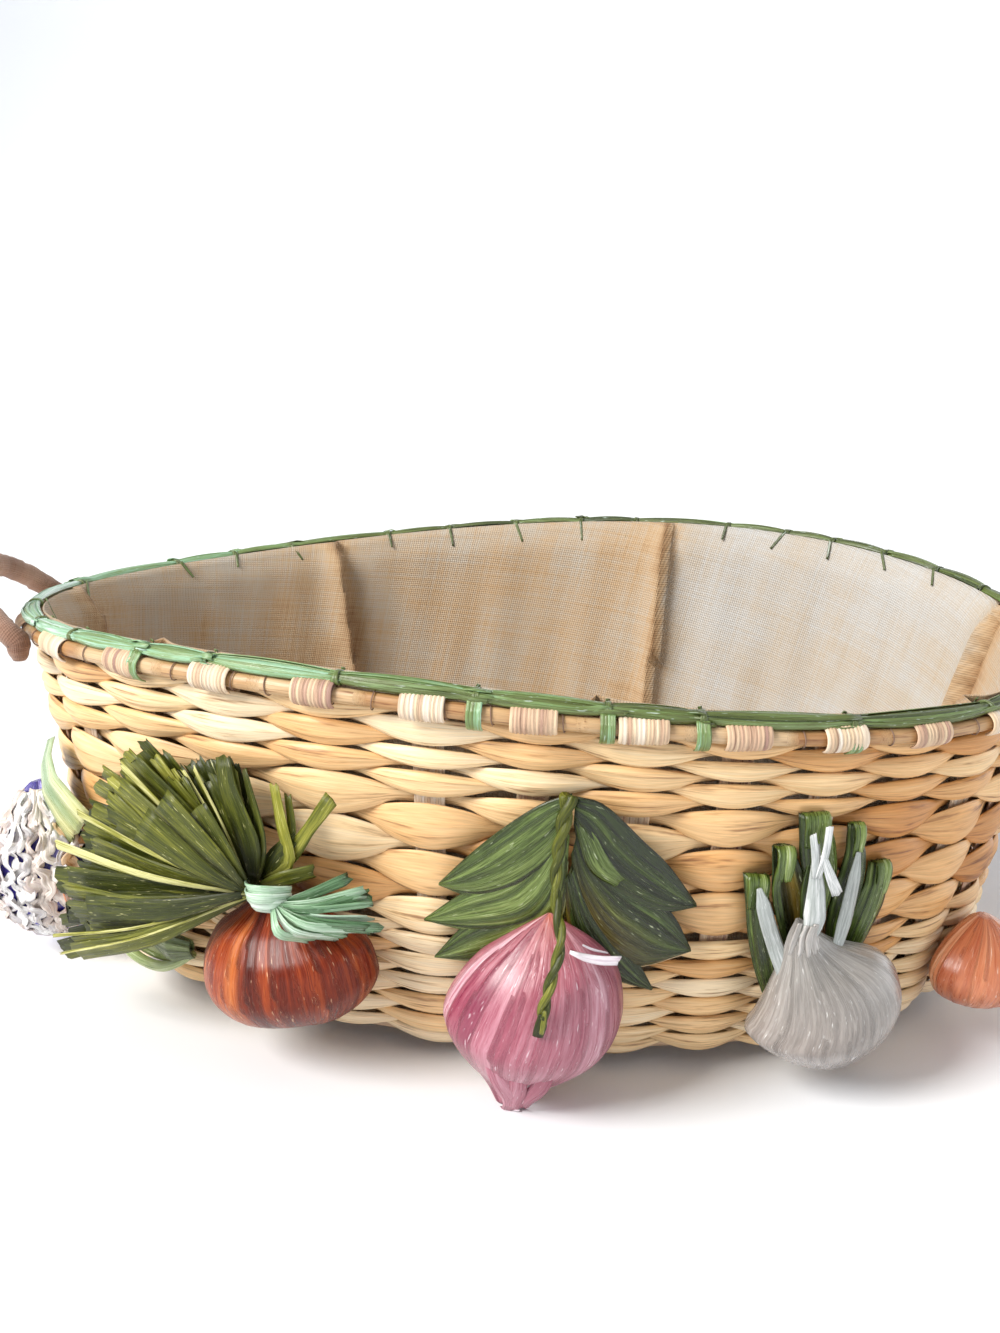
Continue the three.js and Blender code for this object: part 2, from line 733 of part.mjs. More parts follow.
const garlicPlane = sewnOn(garlicBulb);
seatOnWeave(addPiece('garlic', bulbShape(garlicBulb), skinWhite, garlicPlane));
const garlicNeck = new THREE.Vector3(0, garlicBulb.height / 2 + 3 * sewnGap, 0)
  .applyAxisAngle(new THREE.Vector3(0, 0, 1), THREE.MathUtils.degToRad(garlicBulb.tilt));
const loops = [
  { x: -25, y: -13, lean: -14, reach: 42 },
  { x: -10.5, y: 3, lean: -8, reach: 37 },
  { x: 1, y: 4, lean: 2, reach: 46 },
  { x: 12.5, y: 2, lean: 10, reach: 42 },
  { x: 23, y: -5, lean: 18, reach: 35 },
];
const loopFaces = loops.map(({ x, y, lean, reach }, i) => {
  const leaf = loopLeaf({
    lean,
    start: 0,
    reach,
    width: loopLeafWidth,
    thickness: leafThickness,
  });
  const piece = addPiece(`garlic_leaf_${i + 1}`, leaf, leafGreen, garlicPlane);
  piece.position.copy(garlicNeck).add(new THREE.Vector3(x, y, 0));
  return seatOnWeave(piece).position.clone().setZ(piece.position.z + leafThickness + seatGap);
});
const sprouts = {
  sprout_left: { on: 0, part: 0.84 },
  sprout_middle: { on: 2, part: 0.88 },
  sprout_right: { on: 3, part: 0.56 },
};
for (const [name, { on, part }] of Object.entries(sprouts)) {
  const sprout = loopLeaf({
    lean: loops[on].lean,
    start: 0,
    reach: loops[on].reach * part,
    width: loopLeafWidth / 2,
    thickness: leafThickness,
  });
  addPiece(name, sprout, skinWhite, garlicPlane).position.copy(loopFaces[on]);
}

// The gourd towards the right end

seatOnWeave(addPiece('orange_gourd', bulbShape(orangeGourd), skinOrange, sewnOn(orangeGourd)));

// The violet vegetable at the left end, with its string of beads, side leaf and pod

const violetPlane = sewnOn(violetBody);
const violetPiece = seatOnWeave(addPiece(
  'violet_body',
  bulbShape(violetBody),
  skinViolet,
  violetPlane,
));

function beadString() {
  const beads = 9;
  const middle = violetPiece.position.z + violetBody.depth / 2;
  const points = Array.from({ length: 6 }, (_, i) => {
    const y = violetBody.height * THREE.MathUtils.lerp(0.36, -0.36, i / 5);
    const front = bulbRadius(violetBody, y) * (violetBody.depth / violetBody.width);
    return new THREE.Vector3(0, y, middle + front + beadRadius + seatGap);
  });
  const radii = Array.from({ length: 2 * beads + 1 }, (_, i) => beadRadius * (i % 2 ? 1 : 0.55));
  return strand(points, radii);
}

addPiece('bead_string', beadString(), skinWhite, violetPlane);
const sideLeaf = loopLeaf({
  lean: 158,
  start: 0,
  reach: violetBody.height * 0.62,
  width: violetBody.width * 0.42,
  thickness: leafThickness,
});
const sideLeafPiece = addPiece('side_leaf', sideLeaf, leafGreen, violetPlane);
sideLeafPiece.position.set(violetBody.width * 0.54, violetBody.height * 0.66, 0);
seatOnWeave(sideLeafPiece);

function podShape() {
  const half = podLength / 2;
  const points = [-1, -0.5, 0, 0.5, 1].map((part) => new THREE.Vector3(
    half * part,
    half * 0.3 * part * part,
    podLength / 8,
  ));
  return strand(points, [1.2, 3.6, 5, 5.2, 5, 3.6, 1.2]);
}

const podPlane = sewnOn({ at: podAt, up: violetBody.up * 0.62 });
seatOnWeave(addPiece('green_pod', podShape(), leafGreen, podPlane));

const middle = new THREE.Box3().setFromObject(basket, true).getCenter(new THREE.Vector3());
basket.position.set(-middle.x, -middle.y, 0);

export default basket;
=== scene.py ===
import bpy
import math
import random
import numpy as np
from mathutils import Matrix, Vector


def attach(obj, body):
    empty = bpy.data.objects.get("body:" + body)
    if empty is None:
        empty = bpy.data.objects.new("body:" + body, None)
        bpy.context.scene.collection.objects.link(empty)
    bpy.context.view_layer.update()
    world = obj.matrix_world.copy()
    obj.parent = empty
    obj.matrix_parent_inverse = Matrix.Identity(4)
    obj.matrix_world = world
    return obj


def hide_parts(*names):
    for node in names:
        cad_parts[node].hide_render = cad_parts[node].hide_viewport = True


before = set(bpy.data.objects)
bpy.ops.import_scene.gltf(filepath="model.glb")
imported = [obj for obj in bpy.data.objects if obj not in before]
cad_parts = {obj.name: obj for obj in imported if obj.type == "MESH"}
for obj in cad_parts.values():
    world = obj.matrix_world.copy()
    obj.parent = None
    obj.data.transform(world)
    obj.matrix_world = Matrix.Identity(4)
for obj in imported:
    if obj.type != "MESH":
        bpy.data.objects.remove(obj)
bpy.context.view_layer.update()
for each in bpy.context.selected_objects:
    each.select_set(False)

MM = 0.001
FLOOR_CLEAR = 0.2

# The wall stands on an oval foot, bends up round a corner and leans out to the rim
FOOT_LENGTH = 178.0
FOOT_WIDTH = 106.0
ROD_HEIGHT = 156.5
CORNER = 24.0
LEAN = math.radians(80)
MIDDLE = np.array([-2.753, 7.957, 0.0])

# The rim rises at the sides, twists and tilts, as on a basket shaped by hand
SIDE_RISE = 5.7
HAND_TWIST = 6.7
END_TILT = 3.7

# The stakes, and how unevenly they stand round the wall
STAKES = 28
PHASE = -0.3
DRIFT = 0.023
DRIFT_TURN = math.radians(74)
STAKE_THICK = 2.4
STAKE_WIDTH = 11.5
STAKE_FOOT = 8.0

# The base, and the hoop round it that the stakes start from
BASE_THICK = 8.6
HOOP_WIDTH = 4.0
WEAVE_GAP = 0.4

# The rod outside the wall, the gap between seated pieces, and how far out the weave's face lies
ROD_RADIUS = 3.3
ROD_OUT = 5.66
SEAT_GAP = 0.4
FACE = 4.209

FOOT_PLANE = BASE_THICK / 2
ARC_LENGTH = CORNER * LEAN
ARC_TOP = FOOT_PLANE + CORNER * (1 - math.cos(LEAN))
ROD_ALONG = ARC_LENGTH + (ROD_HEIGHT - ARC_TOP) / math.sin(LEAN)
RIM_TOP = ROD_ALONG + ROD_RADIUS + SEAT_GAP + STAKE_THICK
HOOP_ALONG = CORNER * math.radians(30) + WEAVE_GAP + HOOP_WIDTH / 2


def rim_rise(turn):
    return (-SIDE_RISE * np.cos(2 * turn) + HAND_TWIST * np.sin(2 * turn)
            + END_TILT * np.cos(turn))


def on_wall(turn, along, out):
    """Points on the wall for arrays of turn, distance up the wall and distance out from it."""
    turn, along, out = np.broadcast_arrays(*(np.asarray(a, float) for a in (turn, along, out)))
    bend = np.clip(along / CORNER, 0, LEAN)
    reach = np.maximum(0, along - ARC_LENGTH)
    stretch = 1 + rim_rise(turn) / (ROD_HEIGHT - ARC_TOP)
    aside = CORNER * np.sin(bend) + reach * math.cos(LEAN) + out * np.sin(bend)
    up = (FOOT_PLANE + CORNER * (1 - np.cos(bend)) + reach * math.sin(LEAN) * stretch
          - out * np.cos(bend))
    nx, ny = np.cos(turn) / FOOT_LENGTH, np.sin(turn) / FOOT_WIDTH
    size = np.hypot(nx, ny)
    return np.stack([
        FOOT_LENGTH * np.cos(turn) + aside * nx / size + MIDDLE[0],
        FOOT_WIDTH * np.sin(turn) + aside * ny / size + MIDDLE[1],
        up,
    ], axis=-1)


# Distances round the wall are measured at half its height
LAP = np.linspace(0, 2 * math.pi, 2881)
HALF_WAY_UP = on_wall(LAP, ROD_ALONG / 2, 0)
ARC = np.append(0, np.cumsum(np.hypot(*np.diff(HALF_WAY_UP[:, :2], axis=0).T)))
ROUND = ARC[-1]


def turn_at(distance):
    laps = np.floor(np.asarray(distance, float) / ROUND)
    return 2 * math.pi * laps + np.interp(distance - laps * ROUND, ARC, LAP)


def distance_at(turn):
    laps = np.floor(np.asarray(turn, float) / (2 * math.pi))
    return laps * ROUND + np.interp(turn - 2 * math.pi * laps, LAP, ARC)


# Even places round the wall are stakes and odd ones the crossings between them
NUMBERS = np.arange(2 * STAKES)
PLACES = turn_at(ROUND * ((NUMBERS + PHASE) / (2 * STAKES)
                          - DRIFT * np.cos(2 * math.pi * NUMBERS / (2 * STAKES) - DRIFT_TURN)))
THREE_LAPS = np.concatenate([PLACES - 2 * math.pi, PLACES, PLACES + 2 * math.pi])


def place_turn(p):
    """The turn at a place number, which may lie between two places."""
    return np.interp(p, np.arange(-2 * STAKES, 4 * STAKES), THREE_LAPS)


def unit(a):
    a = np.asarray(a, float)
    return a / np.maximum(np.linalg.norm(a, axis=-1, keepdims=True), 1e-9)


def lengths_along(path):
    """The distance from a path's start to each of its points."""
    return np.append(0, np.cumsum(np.linalg.norm(np.diff(path, axis=0), axis=1)))


# Meshes
def new_piece(name, points, faces, grain, **attributes):
    """A selected object from points in millimetres, with its grain map and its attributes."""
    mesh = bpy.data.meshes.new(name)
    mesh.from_pydata(points * MM, [], faces)
    mesh.uv_layers.new(name="Grain").data.foreach_set("uv", np.ravel(grain))
    for label, values in attributes.items():
        mesh.attributes.new(label, "FLOAT", "POINT").data.foreach_set("value", np.ravel(values))
    piece = bpy.data.objects.new(name, mesh)
    bpy.context.collection.objects.link(piece)
    bpy.context.view_layer.objects.active = piece
    piece.select_set(True)
    return piece


def finish_piece(piece, material, slot, *nodes):
    bpy.ops.object.shade_smooth()
    piece.select_set(False)
    piece.data.materials.append(material)
    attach(piece, "root")
    for node in nodes:
        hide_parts(node)
    return piece


class Work:
    """Collects closed strips and shells, then makes them into one piece. Each point carries a
    tone, which picks its shade, and a kind, which brings in its material's second tint."""

    def __init__(self):
        self.points, self.faces, self.grain, self.tones, self.kinds = [], [], [], [], []
        self.count = 0

    def shell(self, rings, u, v, tone, loop=False, kind=0.0):
        """A closed skin over equal rings of points. u runs along it and v round it, in mm."""
        rings = np.asarray(rings, float)
        rows, sides = rings.shape[:2]
        base = self.count
        self.points.append(rings.reshape(-1, 3))
        for store, value in ((self.tones, tone), (self.kinds, kind)):
            value = np.asarray(value, float)
            value = value[:, None] if value.ndim == 1 else value
            store.append(np.broadcast_to(value, (rows, sides)).reshape(-1))
        joins = rows if loop else rows - 1
        i, j = np.meshgrid(np.arange(joins), np.arange(sides), indexing="ij")
        i, j = i.ravel(), j.ravel()
        ni, nj = (i + 1) % rows, (j + 1) % sides
        quads = np.stack([i * sides + j, ni * sides + j, ni * sides + nj, i * sides + nj], 1)
        self.faces.extend((quads + base).tolist())
        u, v = np.asarray(u, float), np.asarray(v, float)
        corners = [(u[i], v[j]), (u[i + 1], v[j]), (u[i + 1], v[j + 1]), (u[i], v[j + 1])]
        self.grain.append(np.stack([np.stack(corner, 1) for corner in corners], 1).reshape(-1, 2))
        if not loop:
            self.faces.append(list(range(base, base + sides)))
            self.faces.append(list(range(base + (rows - 1) * sides, base + rows * sides))[::-1])
            self.grain.append(np.stack([np.full(sides, u[0]), v[:sides]], 1))
            self.grain.append(np.stack([np.full(sides, u[rows - 1]), v[:sides][::-1]], 1))
        self.count += rows * sides

    def make(self, name, material, slot, *nodes):
        points = np.concatenate(self.points)
        points[:, 2] = np.maximum(points[:, 2], FLOOR_CLEAR)
        piece = new_piece(name, points, self.faces, np.concatenate(self.grain),
                          tone=np.concatenate(self.tones), kind=np.concatenate(self.kinds))
        bpy.ops.object.mode_set(mode="EDIT")
        bpy.ops.mesh.select_all(action="SELECT")
        bpy.ops.mesh.normals_make_consistent(inside=False)
        bpy.ops.object.mode_set(mode="OBJECT")
        return finish_piece(piece, material, slot, *nodes)


def smooth_path(points, count):
    """A smooth line through points."""
    points = np.asarray(points, float)
    padded = np.concatenate([2 * points[:1] - points[1:2], points, 2 * points[-1:] - points[-2:-1]])
    t = np.linspace(0, len(points) - 1 - 1e-9, count)
    k = t.astype(int)
    f = (t - k)[:, None]
    a, b, c, d = (padded[k + n] for n in range(4))
    return 0.5 * (2 * b + (c - a) * f + (2 * a - 5 * b + 4 * c - d) * f ** 2
                  + (3 * b - a - 3 * c + d) * f ** 3)


def even_path(points, count, ease=0.0):
    """Points along a smooth line, evenly spaced, or closer at both ends where ease is given."""
    line = smooth_path(points, 300)
    length = lengths_along(line)
    share = np.linspace(0, 1, count)
    share = (1 - ease) * share + ease * (0.5 - 0.5 * np.cos(math.pi * share))
    return np.stack([np.interp(share * length[-1], length, column) for column in line.T], 1)


def tube(work, path, radii, tone, sides):
    """A round strand along a path."""
    path = np.asarray(path, float)
    ahead = unit(np.gradient(path, axis=0))
    ref = np.array([0.0, 0.0, 1.0])
    across = [unit(np.cross(ahead[0], ref if abs(ahead[0] @ ref) < 0.9 else [1.0, 0, 0]))]
    for a in ahead[1:]:
        across.append(unit(across[-1] - a * (across[-1] @ a)))
    across = np.array(across)
    over = np.cross(ahead, across)
    radii = np.broadcast_to(np.asarray(radii, float), len(path))
    angle = np.linspace(0, 2 * math.pi, sides, endpoint=False)
    rings = (path[:, None]
             + across[:, None] * (radii[:, None] * np.cos(angle))[..., None]
             + over[:, None] * (radii[:, None] * np.sin(angle))[..., None])
    u = lengths_along(np.concatenate([path, path[:1]]))
    work.shell(rings, u, np.linspace(0, 2 * math.pi * radii.mean(), sides + 1), tone)


def ribbon(work, spine, across, normal, widths, tone, thick, sides, seed, bow=0.06, ridge=0.18,
           fray=0.0, kind=0.0):
    """A flat strip with lengthwise ridges, and a ragged cut at its far end where fray is given."""
    rng = random.Random(seed)
    spine, across, normal = (np.asarray(a, float) for a in (spine, across, normal))
    widths = np.broadcast_to(np.asarray(widths, float), len(spine))
    v = np.linspace(-1, 1, sides)
    ridges = np.array([ridge * (rng.random() - 0.5) * 2 for _ in v])
    ridges[[0, -1]] *= 0.3
    lift = bow * (1 - v ** 2)
    ahead = unit(np.gradient(spine, axis=0))
    ragged = np.zeros((len(spine), sides))
    if fray:
        cuts = np.array([fray * rng.random() for _ in v])
        ragged[-1] = cuts
        ragged[-2] = cuts * 0.4
    centre = spine[:, None] + ahead[:, None] * ragged[..., None]
    side = across[:, None] * (v[None] * widths[:, None] / 2)[..., None]
    rise = (lift[None] * widths[:, None]) + ridges[None]
    front = centre + side + normal[:, None] * (rise + thick / 2)[..., None]
    back = centre + side + normal[:, None] * (rise - thick / 2)[..., None]
    rings = np.concatenate([front, back[:, ::-1]], 1)
    u = lengths_along(spine)
    u = np.append(u, u[-1]) + rng.random() * 50
    half = v * widths.max() / 2 + seed * 3.7 % 40
    work.shell(rings, u, np.concatenate([half, half[::-1], half[:1]]), tone, kind=kind)


# Materials
def colour(text):
    """Linear values and full alpha from an sRGB hex colour."""
    parts = [int(text[i:i + 2], 16) / 255 for i in (0, 2, 4)]
    return [p / 12.92 if p <= 0.04045 else ((p + 0.055) / 1.055) ** 2.4 for p in parts] + [1.0]


def add(tree, kind, settings=None, links=None):
    """Adds one node, with its settings by name and its links by socket. Stops are places on a
    ramp with their colours."""
    node = tree.nodes.new(kind)
    for key, value in (settings or {}).items():
        if key == "stops":
            ramp = node.color_ramp
            while len(ramp.elements) < len(value):
                ramp.elements.new(0.5)
            for element, (place, shade) in zip(ramp.elements, value.items()):
                element.position = place
                element.color = colour(shade)
        elif isinstance(key, int) or key in node.inputs:
            node.inputs[key].default_value = value
        else:
            setattr(node, key, value)
    for key, socket in (links or {}).items():
        tree.links.new(socket, node.inputs[key])
    return node


def start(name, rough, level, coat=0.0, sheen=0.0):
    """A new material with its tree and its shader."""
    material = bpy.data.materials.new(name)
    material.use_nodes = True
    tree = material.node_tree
    shader = tree.nodes["Principled BSDF"]
    shader.inputs["Roughness"].default_value = rough
    shader.inputs["Coat Weight"].default_value = coat
    shader.inputs["Coat Roughness"].default_value = 0.25
    shader.inputs["Sheen Weight"].default_value = sheen
    shader.inputs["Specular IOR Level"].default_value = level
    return material, tree, shader


def fibre_coordinates(tree, along, across):
    """The grain map stretched so that one unit is `along` mm by `across` mm, shifted by tone."""
    grain = add(tree, "ShaderNodeUVMap", {"uv_map": "Grain"})
    tone = add(tree, "ShaderNodeAttribute", {"attribute_name": "tone"})
    shift = add(tree, "ShaderNodeCombineXYZ", {}, {"Z": tone.outputs["Fac"]})
    moved = add(tree, "ShaderNodeVectorMath", {"operation": "MULTIPLY_ADD", 1: (1, 1, 90)},
                {0: shift.outputs[0], 2: grain.outputs[0]})
    mapped = add(tree, "ShaderNodeMapping", {"Scale": (1 / along, 1 / across, 1)},
                 {"Vector": moved.outputs[0]})
    return mapped.outputs[0], tone.outputs["Fac"]


def stem_material(name, stops, crease_shade_colour, rough, shine):
    """Dried plant stem: tone picks the stem's colour, creases 30 mm long and 1.7 mm wide are
    darkened with painted shade, and fibres of 16 by 0.5 mm run along it. Real fibres are finer,
    and these are as coarse as they need to be to show."""
    material, tree, shader = start(name, rough, coat=shine, level=0.45)
    broad, tone = fibre_coordinates(tree, 30, 1.7)
    fine, _ = fibre_coordinates(tree, 16, 0.5)
    crease = add(tree, "ShaderNodeTexNoise", {"Scale": 1.0, "Detail": 3.0, "Roughness": 0.6},
                 {"Vector": broad})
    fibres = add(tree, "ShaderNodeTexNoise", {"Scale": 1.0, "Detail": 2.0}, {"Vector": fine})
    mixed = add(tree, "ShaderNodeMath", {"operation": "MULTIPLY_ADD", 1: 0.5},
                {0: crease.outputs["Fac"], 2: tone})
    body = add(tree, "ShaderNodeMath", {"operation": "SUBTRACT", 1: 0.25}, {0: mixed.outputs[0]})
    base = add(tree, "ShaderNodeValToRGB", {"stops": stops}, {"Fac": body.outputs[0]})
    # Painted shade: where the crease noise peaks, the colour is multiplied toward the crease colour
    dark = add(tree, "ShaderNodeMapRange",
               {"From Min": 0.56, "From Max": 0.72, "To Min": 0.0, "To Max": 0.7},
               {"Value": crease.outputs["Fac"]})
    crease_shaded = add(tree, "ShaderNodeMix",
                {"data_type": "RGBA", "blend_type": "MULTIPLY", 7: colour(crease_shade_colour)},
                {0: dark.outputs[0], 6: base.outputs[0]})
    grainy = add(tree, "ShaderNodeMapRange",
                 {"From Min": 0.3, "From Max": 0.7, "To Min": 0.86, "To Max": 1.1},
                 {"Value": fibres.outputs["Fac"]})
    final = add(tree, "ShaderNodeVectorMath", {"operation": "SCALE"},
                {0: crease_shaded.outputs[2], "Scale": grainy.outputs[0]})
    tree.links.new(final.outputs[0], shader.inputs["Base Color"])
    height = add(tree, "ShaderNodeMath", {"operation": "MULTIPLY_ADD", 1: 0.35},
                 {0: fibres.outputs["Fac"], 2: crease.outputs["Fac"]})
    bump = add(tree, "ShaderNodeBump", {"Strength": 0.55, "Distance": 0.0007},
               {"Height": height.outputs[0]})
    tree.links.new(bump.outputs[0], shader.inputs["Normal"])
    return material


def raffia_material(name, stops, rough, shine, fibre, level=0.6, second=None):
    """Dyed raffia strip: tone picks the strip's shade and kind brings in the second tint. Fibres
    14 mm long, drawn coarser than real ones so that they show, carry painted highlights 5 mm long."""
    material, tree, shader = start(name, rough, coat=shine, level=level)
    fine, tone = fibre_coordinates(tree, 14, fibre)
    broad, _ = fibre_coordinates(tree, 34, 3)
    glint_grain, _ = fibre_coordinates(tree, 5, 0.7)
    fibres = add(tree, "ShaderNodeTexNoise", {"Scale": 1.0, "Detail": 3.0, "Roughness": 0.65},
                 {"Vector": fine})
    patches = add(tree, "ShaderNodeTexNoise", {"Scale": 1.0, "Detail": 2.0}, {"Vector": broad})
    painted_glints = add(tree, "ShaderNodeTexNoise", {"Scale": 1.0, "Detail": 2.0}, {"Vector": glint_grain})
    mixed = add(tree, "ShaderNodeMath", {"operation": "MULTIPLY_ADD", 1: 0.95},
                {0: fibres.outputs["Fac"], 2: tone})
    more = add(tree, "ShaderNodeMath", {"operation": "MULTIPLY_ADD", 1: 0.55},
               {0: patches.outputs["Fac"], 2: mixed.outputs[0]})
    body = add(tree, "ShaderNodeMath", {"operation": "SUBTRACT", 1: 0.75}, {0: more.outputs[0]})
    base = add(tree, "ShaderNodeValToRGB", {"stops": stops}, {"Fac": body.outputs[0]})
    shade = base.outputs[0]
    if second:
        kind = add(tree, "ShaderNodeAttribute", {"attribute_name": "kind"})
        other = add(tree, "ShaderNodeValToRGB", {"stops": second}, {"Fac": body.outputs[0]})
        shade = add(tree, "ShaderNodeMix", {"data_type": "RGBA"},
                    {0: kind.outputs["Fac"], 6: shade, 7: other.outputs[0]}).outputs[2]
    # Painted highlight: where the glint noise peaks, the colour is mixed toward the ramp's palest stop
    pale = add(tree, "ShaderNodeMapRange",
               {"From Min": 0.66, "From Max": 0.74, "To Min": 0.0, "To Max": 0.6},
               {"Value": painted_glints.outputs["Fac"]})
    lit = add(tree, "ShaderNodeMix", {"data_type": "RGBA", 7: colour(list(stops.values())[-1])},
              {0: pale.outputs[0], 6: shade})
    tree.links.new(lit.outputs[2], shader.inputs["Base Color"])
    bump = add(tree, "ShaderNodeBump", {"Strength": 0.8, "Distance": 0.0005},
               {"Height": fibres.outputs["Fac"]})
    tree.links.new(bump.outputs[0], shader.inputs["Normal"])
    gloss = add(tree, "ShaderNodeMapRange",
                {"From Min": 0.3, "From Max": 0.7, "To Min": rough - 0.1, "To Max": rough + 0.18},
                {"Value": fibres.outputs["Fac"]})
    tree.links.new(gloss.outputs[0], shader.inputs["Roughness"])
    return material


# A wave texture of scale 1 repeats after this many units
WAVE_LENGTH = 0.314


def cloth_material(name, stops, thread):
    """Plain-woven cloth: threads a given distance apart cross at right angles, with slubs 60 mm
    long and 1.6 mm wide both ways and soft stains 45 mm across. Real threads are finer, and these
    are as coarse as they need to be to show."""
    material, tree, shader = start(name, 0.85, sheen=0.25, level=0.25)
    grain = add(tree, "ShaderNodeUVMap", {"uv_map": "Grain"})
    tone = add(tree, "ShaderNodeAttribute", {"attribute_name": "tone"})
    waves, noises = [], []
    for direction, slub in (("X", (1 / 60, 1 / 1.6, 1)), ("Y", (1 / 1.6, 1 / 60, 1))):
        waves.append(add(tree, "ShaderNodeTexWave",
                         {"wave_type": "BANDS", "bands_direction": direction,
                          "Scale": WAVE_LENGTH / thread, "Distortion": 2.5, "Detail": 2.0,
                          "Detail Scale": 0.3}, {"Vector": grain.outputs[0]}))
        mapped = add(tree, "ShaderNodeMapping", {"Scale": slub}, {"Vector": grain.outputs[0]})
        noises.append(add(tree, "ShaderNodeTexNoise", {"Scale": 1.0, "Detail": 2.0},
                          {"Vector": mapped.outputs[0]}))
    threads, slubs = (add(tree, "ShaderNodeMath", {"operation": "ADD"},
                          {0: pair[0].outputs["Fac"], 1: pair[1].outputs["Fac"]})
                      for pair in (waves, noises))
    stained = add(tree, "ShaderNodeMapping", {"Scale": (1 / 45, 1 / 45, 1)},
                  {"Vector": grain.outputs[0]})
    stain = add(tree, "ShaderNodeTexNoise", {"Scale": 1.0, "Detail": 4.0, "Roughness": 0.6},
                {"Vector": stained.outputs[0]})
    pick = add(tree, "ShaderNodeMath", {"operation": "MULTIPLY_ADD", 1: 0.36},
               {0: slubs.outputs[0], 2: tone.outputs["Fac"]})
    picked = add(tree, "ShaderNodeMath", {"operation": "MULTIPLY_ADD", 1: 0.75},
                 {0: stain.outputs["Fac"], 2: pick.outputs[0]})
    centred = add(tree, "ShaderNodeMath", {"operation": "SUBTRACT", 1: 0.735},
                  {0: picked.outputs[0]})
    base = add(tree, "ShaderNodeValToRGB", {"stops": stops}, {"Fac": centred.outputs[0]})
    shaded = add(tree, "ShaderNodeMapRange",
                 {"From Min": 0.2, "From Max": 1.8, "To Min": 0.92, "To Max": 1.03},
                 {"Value": threads.outputs[0]})
    final = add(tree, "ShaderNodeVectorMath", {"operation": "SCALE"},
                {0: base.outputs[0], "Scale": shaded.outputs[0]})
    tree.links.new(final.outputs[0], shader.inputs["Base Color"])
    height = add(tree, "ShaderNodeMath", {"operation": "MULTIPLY_ADD", 1: 0.8},
                 {0: slubs.outputs[0], 2: threads.outputs[0]})
    bump = add(tree, "ShaderNodeBump", {"Strength": 0.5, "Distance": 0.0004},
               {"Height": height.outputs[0]})
    tree.links.new(bump.outputs[0], shader.inputs["Normal"])
    return material


# Water hyacinth stem, dried and pressed flat: satin, honey to amber, with painted brown shade in its
# creases
straw = stem_material(
    "Dried water hyacinth stem",
    {0: "FBE4BE", 0.14: "F8D6A2", 0.3: "EFC48C", 0.52: "DEA768", 0.74: "C68848", 0.9: "A96C32",
     1: "8A5224"}, "7A4A28", 0.46, 0.18)

# The same stem rolled tight into a cane: smoother, darker and a little redder than the flat ones
cane = stem_material(
    "Rolled hyacinth cane", {0: "DCC09A", 0.4: "C8A274", 0.75: "B08050", 1: "8E5E36"}, "8A5232",
    0.42, 0.2)

# Abaca fibre stripped from leaf stalks and laid side by side: matt, pinkish tan, some strands pale
strap_fibre = stem_material(
    "Abaca fibre strap", {0: "F6EADC", 0.35: "E6CBA8", 0.6: "CFAA8E", 0.8: "B08A7C", 1: "846258"},
    "7C5A52", 0.6, 0.05)

# Undyed abaca cloth in plain weave: matt and slubby, cream with tan stains; its darker stops also carry
# the painted shade of the folds and shaded panels
abaca = cloth_material(
    "Abaca lining cloth",
    {0: "C2C0BC", 0.3: "BFB2A0", 0.55: "C0A380", 0.8: "A37F5A", 1: "785A46"}, 1.1)

# The same weave dyed brown and rolled over a core: matt, with paler worn threads
brown_cloth = cloth_material(
    "Brown abaca cloth", {0: "C9A894", 0.4: "B08C78", 0.75: "8F6B58", 1: "6A4A3C"}, 1.0)

# Twisted plant thread, dyed: a fine matt dark line
strap_thread = raffia_material(
    "Dark binding thread", {0: "3A2A22", 0.5: "5C4436", 1: "8A6C58"}, 0.6, 0.0, 0.4)

# Raffia is split palm leaf. The materials below are its strips, each dyed and left satin or glossy.
# Olive, cut into ribbons: satin, with yellow-green edges and painted near-black shade where the ribbons
# root
moss = raffia_material(
    "Olive raffia", {0: "1E2406", 0.3: "3C430F", 0.52: "63671D", 0.78: "98963A", 1: "DEDA98"},
    0.38, 0.14, 0.7, level=0.3, second={0: "14180A", 0.5: "272C0C", 1: "5C6026"})

# Dark green, pressed flat for leaves: glossy, with amber where the dye is thin
leaf_green = raffia_material(
    "Dark green raffia", {0: "141C06", 0.3: "2D3B10", 0.52: "4D6120", 0.75: "869A50", 1: "D6E0B4"},
    0.26, 0.45, 0.6, level=0.35, second={0: "3A2E0C", 0.5: "7A6420", 1: "BE9A3C"})

# Pale green, rolled at the edge: glossy, with undyed pinkish strip inside
pod_green = raffia_material(
    "Pale green raffia", {0: "4A5A28", 0.4: "71833E", 0.7: "A0B070", 1: "E0E8C0"},
    0.3, 0.5, 0.6, second={0: "A88878", 0.5: "CDB2A4", 1: "E8D8CC"})

# Mint shading to olive, laid along the rim: satin, and uneven where the dye has taken less
rim_green = raffia_material(
    "Mint to olive raffia", {0: "3A4620", 0.25: "5E6B31", 0.5: "7E9A5E", 0.75: "96C4A0", 1: "DCEEE4"},
    0.34, 0.35, 0.55)

# Aqua, pulled tight and knotted: glossy, with pale pulled fibres and painted highlights along them
mint = raffia_material(
    "Aqua raffia", {0: "385A34", 0.3: "628C60", 0.6: "92B892", 1: "E2F4E4"}, 0.28, 0.5, 0.6)

# Rose, wound over a stuffed core: glossy dusky pink, with orange folds at the neck
rose = raffia_material(
    "Rose raffia", {0: "83304A", 0.3: "9E4E62", 0.6: "BA7A8A", 0.85: "D6ACBA", 1: "F6E6EC"},
    0.3, 0.5, 0.9, second={0: "B8442C", 0.5: "D87A4C", 1: "F0B890"})

